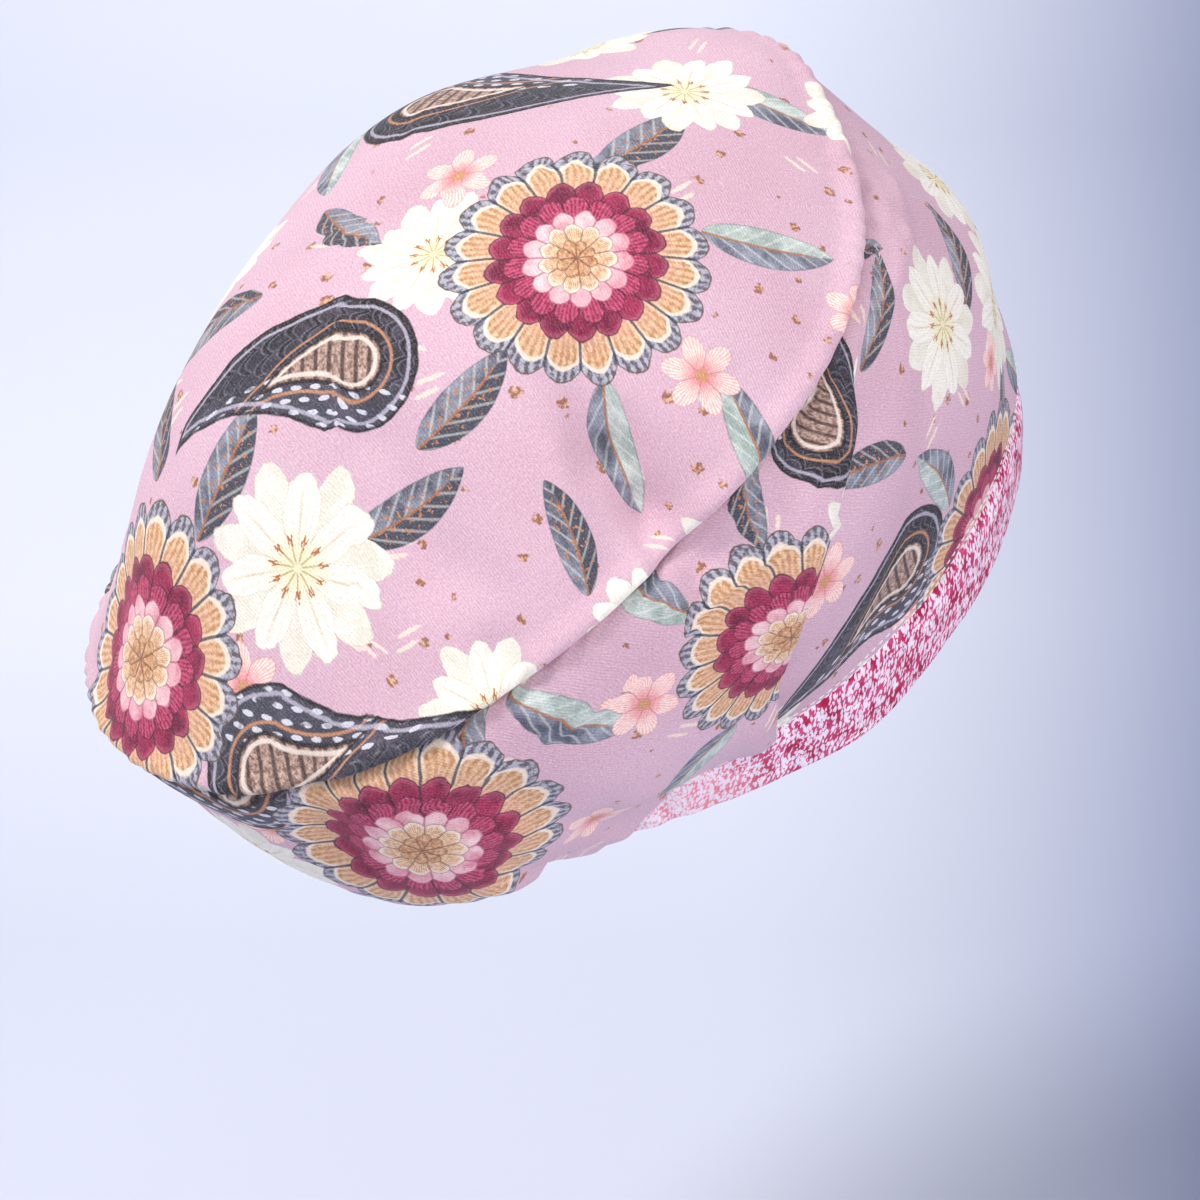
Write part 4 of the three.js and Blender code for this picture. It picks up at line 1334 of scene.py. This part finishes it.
# ---- stitching: two rows above the band seam, and a cross tacked on the band
def thread_piece(a, b, n, radius, sides=6, rings=3):
    """A short raised stitch from a to b on a surface facing n."""
    t = unit(b - a)
    w = unit(np.cross(n, t))
    L = np.linalg.norm(b - a)
    verts, fs = [], []
    ks = np.linspace(0, 1, rings + 2)
    for k in ks:
        bulge = math.sqrt(max(1 - (2 * k - 1) ** 2, 0.0)) ** 0.5
        c = a + t * (L * k) + n * (0.14 * bulge - 0.12)
        for j in range(sides):
            ang = 2 * math.pi * j / sides
            verts.append(c + (w * math.cos(ang) + n * math.sin(ang) * 0.8) * radius * max(bulge, 0.12))
    for i in range(len(ks) - 1):
        for j in range(sides):
            p = i * sides + j
            q = i * sides + (j + 1) % sides
            fs.append((p, q, q + sides, p + sides))
    return np.array(verts), np.array(fs)


def shown_columns():
    flat, q, h = pleat_profile()
    k = len(q)
    first_roll = 10 + 6 + 3 + 6 + 4   # columns hidden under the pleat end here
    hide_r = set(range(N_FRONT + 9, N_FRONT + first_roll))
    half_cols = N_FRONT + k + N_BACK
    right = [half_cols - 1 + c for c in range(half_cols) if c not in hide_r]
    left = [half_cols - 1 - c for c in range(half_cols) if c not in hide_r][::-1]
    return sorted(set(left + right))


SN = grid_normals(G, False)
shown = np.array(shown_columns())
parts_v, parts_f, total = [], [], 0


def add_thread(v, f):
    global total
    parts_v.append(v)
    parts_f.append(f + total)
    total += len(v)


upmm = (R[:, 0] - 1) * 24
for height, start in ((2.6, 0.0), (5.6, 1.4)):
    j = int(np.searchsorted(upmm, height))
    j = max(j, 2)
    f = (height - upmm[j - 1]) / max(upmm[j] - upmm[j - 1], 1e-6)
    line = (G[j - 1] * (1 - f) + G[j] * f)[shown]
    norm = unit(SN[j - 1] * (1 - f) + SN[j] * f)[shown]
    seg = np.linalg.norm(np.diff(line, axis=0), axis=1)
    dist = np.concatenate([[0], np.cumsum(seg)])
    pos = start
    while pos + 2.1 < dist[-1]:
        a = np.array([np.interp(pos, dist, line[:, k]) for k in range(3)])
        b = np.array([np.interp(pos + 2.05, dist, line[:, k]) for k in range(3)])
        nrm = unit(np.array([np.interp(pos + 1, dist, norm[:, k]) for k in range(3)]))
        if abs(np.linalg.norm(b - a) - 2.05) < 0.35:
            v, fcs = thread_piece(a + nrm * 0.10, b + nrm * 0.10, nrm, 0.27)
            add_thread(v, fcs)
        pos += 2.85
BN = grid_normals(np.concatenate([BG, BG[:, :1]], 1), False)[:, :-1]


def seen_on_band(px, py):
    """The band's outer point that shows at this place in the picture."""
    rows_out = slice(brows - 11, brows - 1)
    pts, nor = BG[rows_out].reshape(-1, 3), BN[rows_out].reshape(-1, 3)
    rel = pts - CAM_AT
    depth = -(rel @ CAM_B)
    x = 600 + LENS_PX * (rel @ CAM_R) / depth
    y = 600 - LENS_PX * (rel @ CAM_U) / depth
    front = (nor * (CAM_AT - pts)).sum(1) > 0
    d = (x - px) ** 2 + (y - py) ** 2 + np.where(front, 0, 1e6)
    k = int(d.argmin())
    return pts[k], nor[k]


for a, b in (((847, 743), (881, 719)), ((861, 709), (860, 745))):
    ks = np.linspace(0, 1, 6)
    got = [seen_on_band(a[0] + (b[0] - a[0]) * k, a[1] + (b[1] - a[1]) * k) for k in ks]
    for (pa, na), (pb, nb) in zip(got[:-1], got[1:]):
        if np.linalg.norm(pb - pa) > 0.3:
            nrm = unit(na + nb)
            v, fcs = thread_piece(pa + nrm * 0.2, pb + nrm * 0.2, nrm, 0.3)
            add_thread(v, fcs)
stitch = make_object("stitching", np.concatenate(parts_v), np.concatenate(parts_f), np.zeros(sum(len(f) for f in parts_f)), "root", None, [THREAD], "print_jersey")


# =============================================================================
# floor, light and camera
# =============================================================================
def plain(name, colour, rough=0.7):
    g = Graph(name)
    b = g.new("ShaderNodeBsdfPrincipled")
    b.inputs["Base Color"].default_value = (*rgb(colour), 1)
    b.inputs["Roughness"].default_value = rough
    b.inputs["Specular IOR Level"].default_value = 0.2
    out = g.new("ShaderNodeOutputMaterial")
    g.tree.links.new(b.outputs[0], out.inputs[0])
    return g.mat


def paper(side_dir, away):
    """Pale paper with painted shade: darker towards one side in a wedge that widens with distance, and a little darker
    on the floor nearer the camera.
    """
    g = Graph("pale_paper_painted_shade")
    x, y, z = g.split(g.new("ShaderNodeNewGeometry").outputs["Position"])
    along = x * float(side_dir[0]) + y * float(side_dir[1])
    depth = x * float(away[0]) + y * float(away[1]) + 0.90
    # painted shade: a blue-grey wedge that darkens the paper towards one side
    f = g.pow(g.ramp(along / g.max(depth, 0.2), 0.0, 0.22), 1.8)
    b = g.new("ShaderNodeBsdfPrincipled")
    # painted shade: the floor is a little darker nearer the camera
    near = 1.0 - g.ramp(depth, 1.12, 1.42)
    pale = g.mix(near * 0.75, rgb("#dadde9"), rgb("#c6cad9"))
    g.put(b.inputs["Base Color"], g.mix(f, pale, rgb("#5b6892")))
    b.inputs["Roughness"].default_value = 0.8
    b.inputs["Specular IOR Level"].default_value = 0.15
    out = g.new("ShaderNodeOutputMaterial")
    g.tree.links.new(b.outputs[0], out.inputs[0])
    return g.mat


def backdrop():
    """A floor that curves up into a wall behind the cap."""
    away = -np.array([CAM_B[0], CAM_B[1], 0.0])
    away /= np.linalg.norm(away)
    side_dir = np.array([CAM_R[0], CAM_R[1], 0.0])
    side_dir /= np.linalg.norm(side_dir)
    z0 = -0.235
    prof = [(-2.2, z0)] + [(1.3 + 0.7 * math.sin(a), z0 + 0.7 - 0.7 * math.cos(a)) for a in np.linspace(0, math.pi / 2, 14)] + [(2.0, 2.6)]
    verts, fs = [], []
    for d, z in prof:
        for w in (-2.6, 2.6):
            verts.append(tuple(away * d + side_dir * w + np.array([0, 0, z])))
    for i in range(len(prof) - 1):
        fs.append((2 * i, 2 * i + 1, 2 * i + 3, 2 * i + 2))
    me = bpy.data.meshes.new("backdrop")
    me.from_pydata(verts, [], fs)
    me.materials.append(paper(side_dir, away))
    for p in me.polygons:
        p.use_smooth = True
    ob = bpy.data.objects.new("backdrop", me)
    bpy.context.scene.collection.objects.link(ob)
    return ob


drop = backdrop()
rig.stage(drop)


def lamp(name, place, aim, size, power, colour):
    d = bpy.data.lights.new(name, "AREA")
    d.shape = "DISK"
    d.size = size
    d.energy = power
    d.color = colour
    o = bpy.data.objects.new(name, d)
    o.location = place
    o.rotation_euler = (Vector(aim) - Vector(place)).to_track_quat("-Z", "Y").to_euler()
    bpy.context.scene.collection.objects.link(o)
    return o


MID = np.array([0.0, 0.045, 0.06])


def around_view(right, up, near):
    return tuple(MID + CAM_R * right + CAM_U * up + CAM_B * near)


lamp("key", around_view(-1.0, 0.95, 0.75), tuple(MID), 0.5, 21.5, (1.0, 0.99, 0.98))
lamp("fill", around_view(1.2, 0.05, 1.0), tuple(MID), 0.9, 16.5, (1.0, 0.98, 0.99))
lamp("low", around_view(-0.3, -0.8, 1.0), tuple(MID), 0.9, 5.0, (0.98, 0.98, 1.0))
BEHIND = -np.array([CAM_B[0], CAM_B[1], 0.0]) / math.hypot(CAM_B[0], CAM_B[1])
lamp("paper_lamp", tuple(BEHIND * 1.1 + np.array([0, 0, 1.25])), tuple(BEHIND * 1.75 + np.array([0, 0, -0.2])), 0.9, 12, (0.98, 0.99, 1.0))
world = bpy.data.worlds.new("studio")
world.use_nodes = True
bg = world.node_tree.nodes.get("Background") or world.node_tree.nodes.new("ShaderNodeBackground")
bg.inputs[0].default_value = (0.90, 0.90, 0.98, 1.0)
bg.inputs[1].default_value = 0.40
bpy.context.scene.world = world
bpy.context.scene.view_settings.view_transform = "Standard"

cam = bpy.data.cameras.new("camera")
cam.sensor_width = 36.0
cam.sensor_fit = "HORIZONTAL"
cam.lens = LENS_PX * 36.0 / 1200.0
cam.clip_start, cam.clip_end = 0.05, 20
camera = bpy.data.objects.new("camera", cam)
bpy.context.scene.collection.objects.link(camera)
m = Matrix(((CAM_R[0], CAM_U[0], CAM_B[0], CAM_AT[0] * MM), (CAM_R[1], CAM_U[1], CAM_B[1], CAM_AT[1] * MM),
            (CAM_R[2], CAM_U[2], CAM_B[2], CAM_AT[2] * MM), (0, 0, 0, 1)))
camera.matrix_world = m
bpy.context.scene.camera = camera

# =============================================================================
# what each sheet was cut from
# =============================================================================
def cut_size(uv):
    lo, hi = uv.min(0), uv.max(0)
    w, l = (hi - lo) * MM
    return float(w), float(l)


sw, sl = cut_size(suv)
cw, cl = cut_size(cuv)
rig.sheet(side, flat=(sw, sl), held="gathered", area=float(side_area * 1e-6), with_pieces=[stitch])
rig.sheet(crown, flat=(cw, cl), held="gathered", area=float(crown_area * 1e-6))
# the band's two layers lie flat on each other and are drawn as one strip
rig.sheet(band, flat=(float(ring_mid.sum()) * MM, float(upw[-1]) * MM / 2), held="stretched")
print("side flat", sw, sl, side_area * 1e-6, "crown flat", cw, cl, crown_area * 1e-6, "band", ring_mid.sum(), upw[-1])

with open("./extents.json", "w") as f:
    json.dump({"cad": CAD_BOX, "look": [list(map(float, c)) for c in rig.bounds()]}, f)
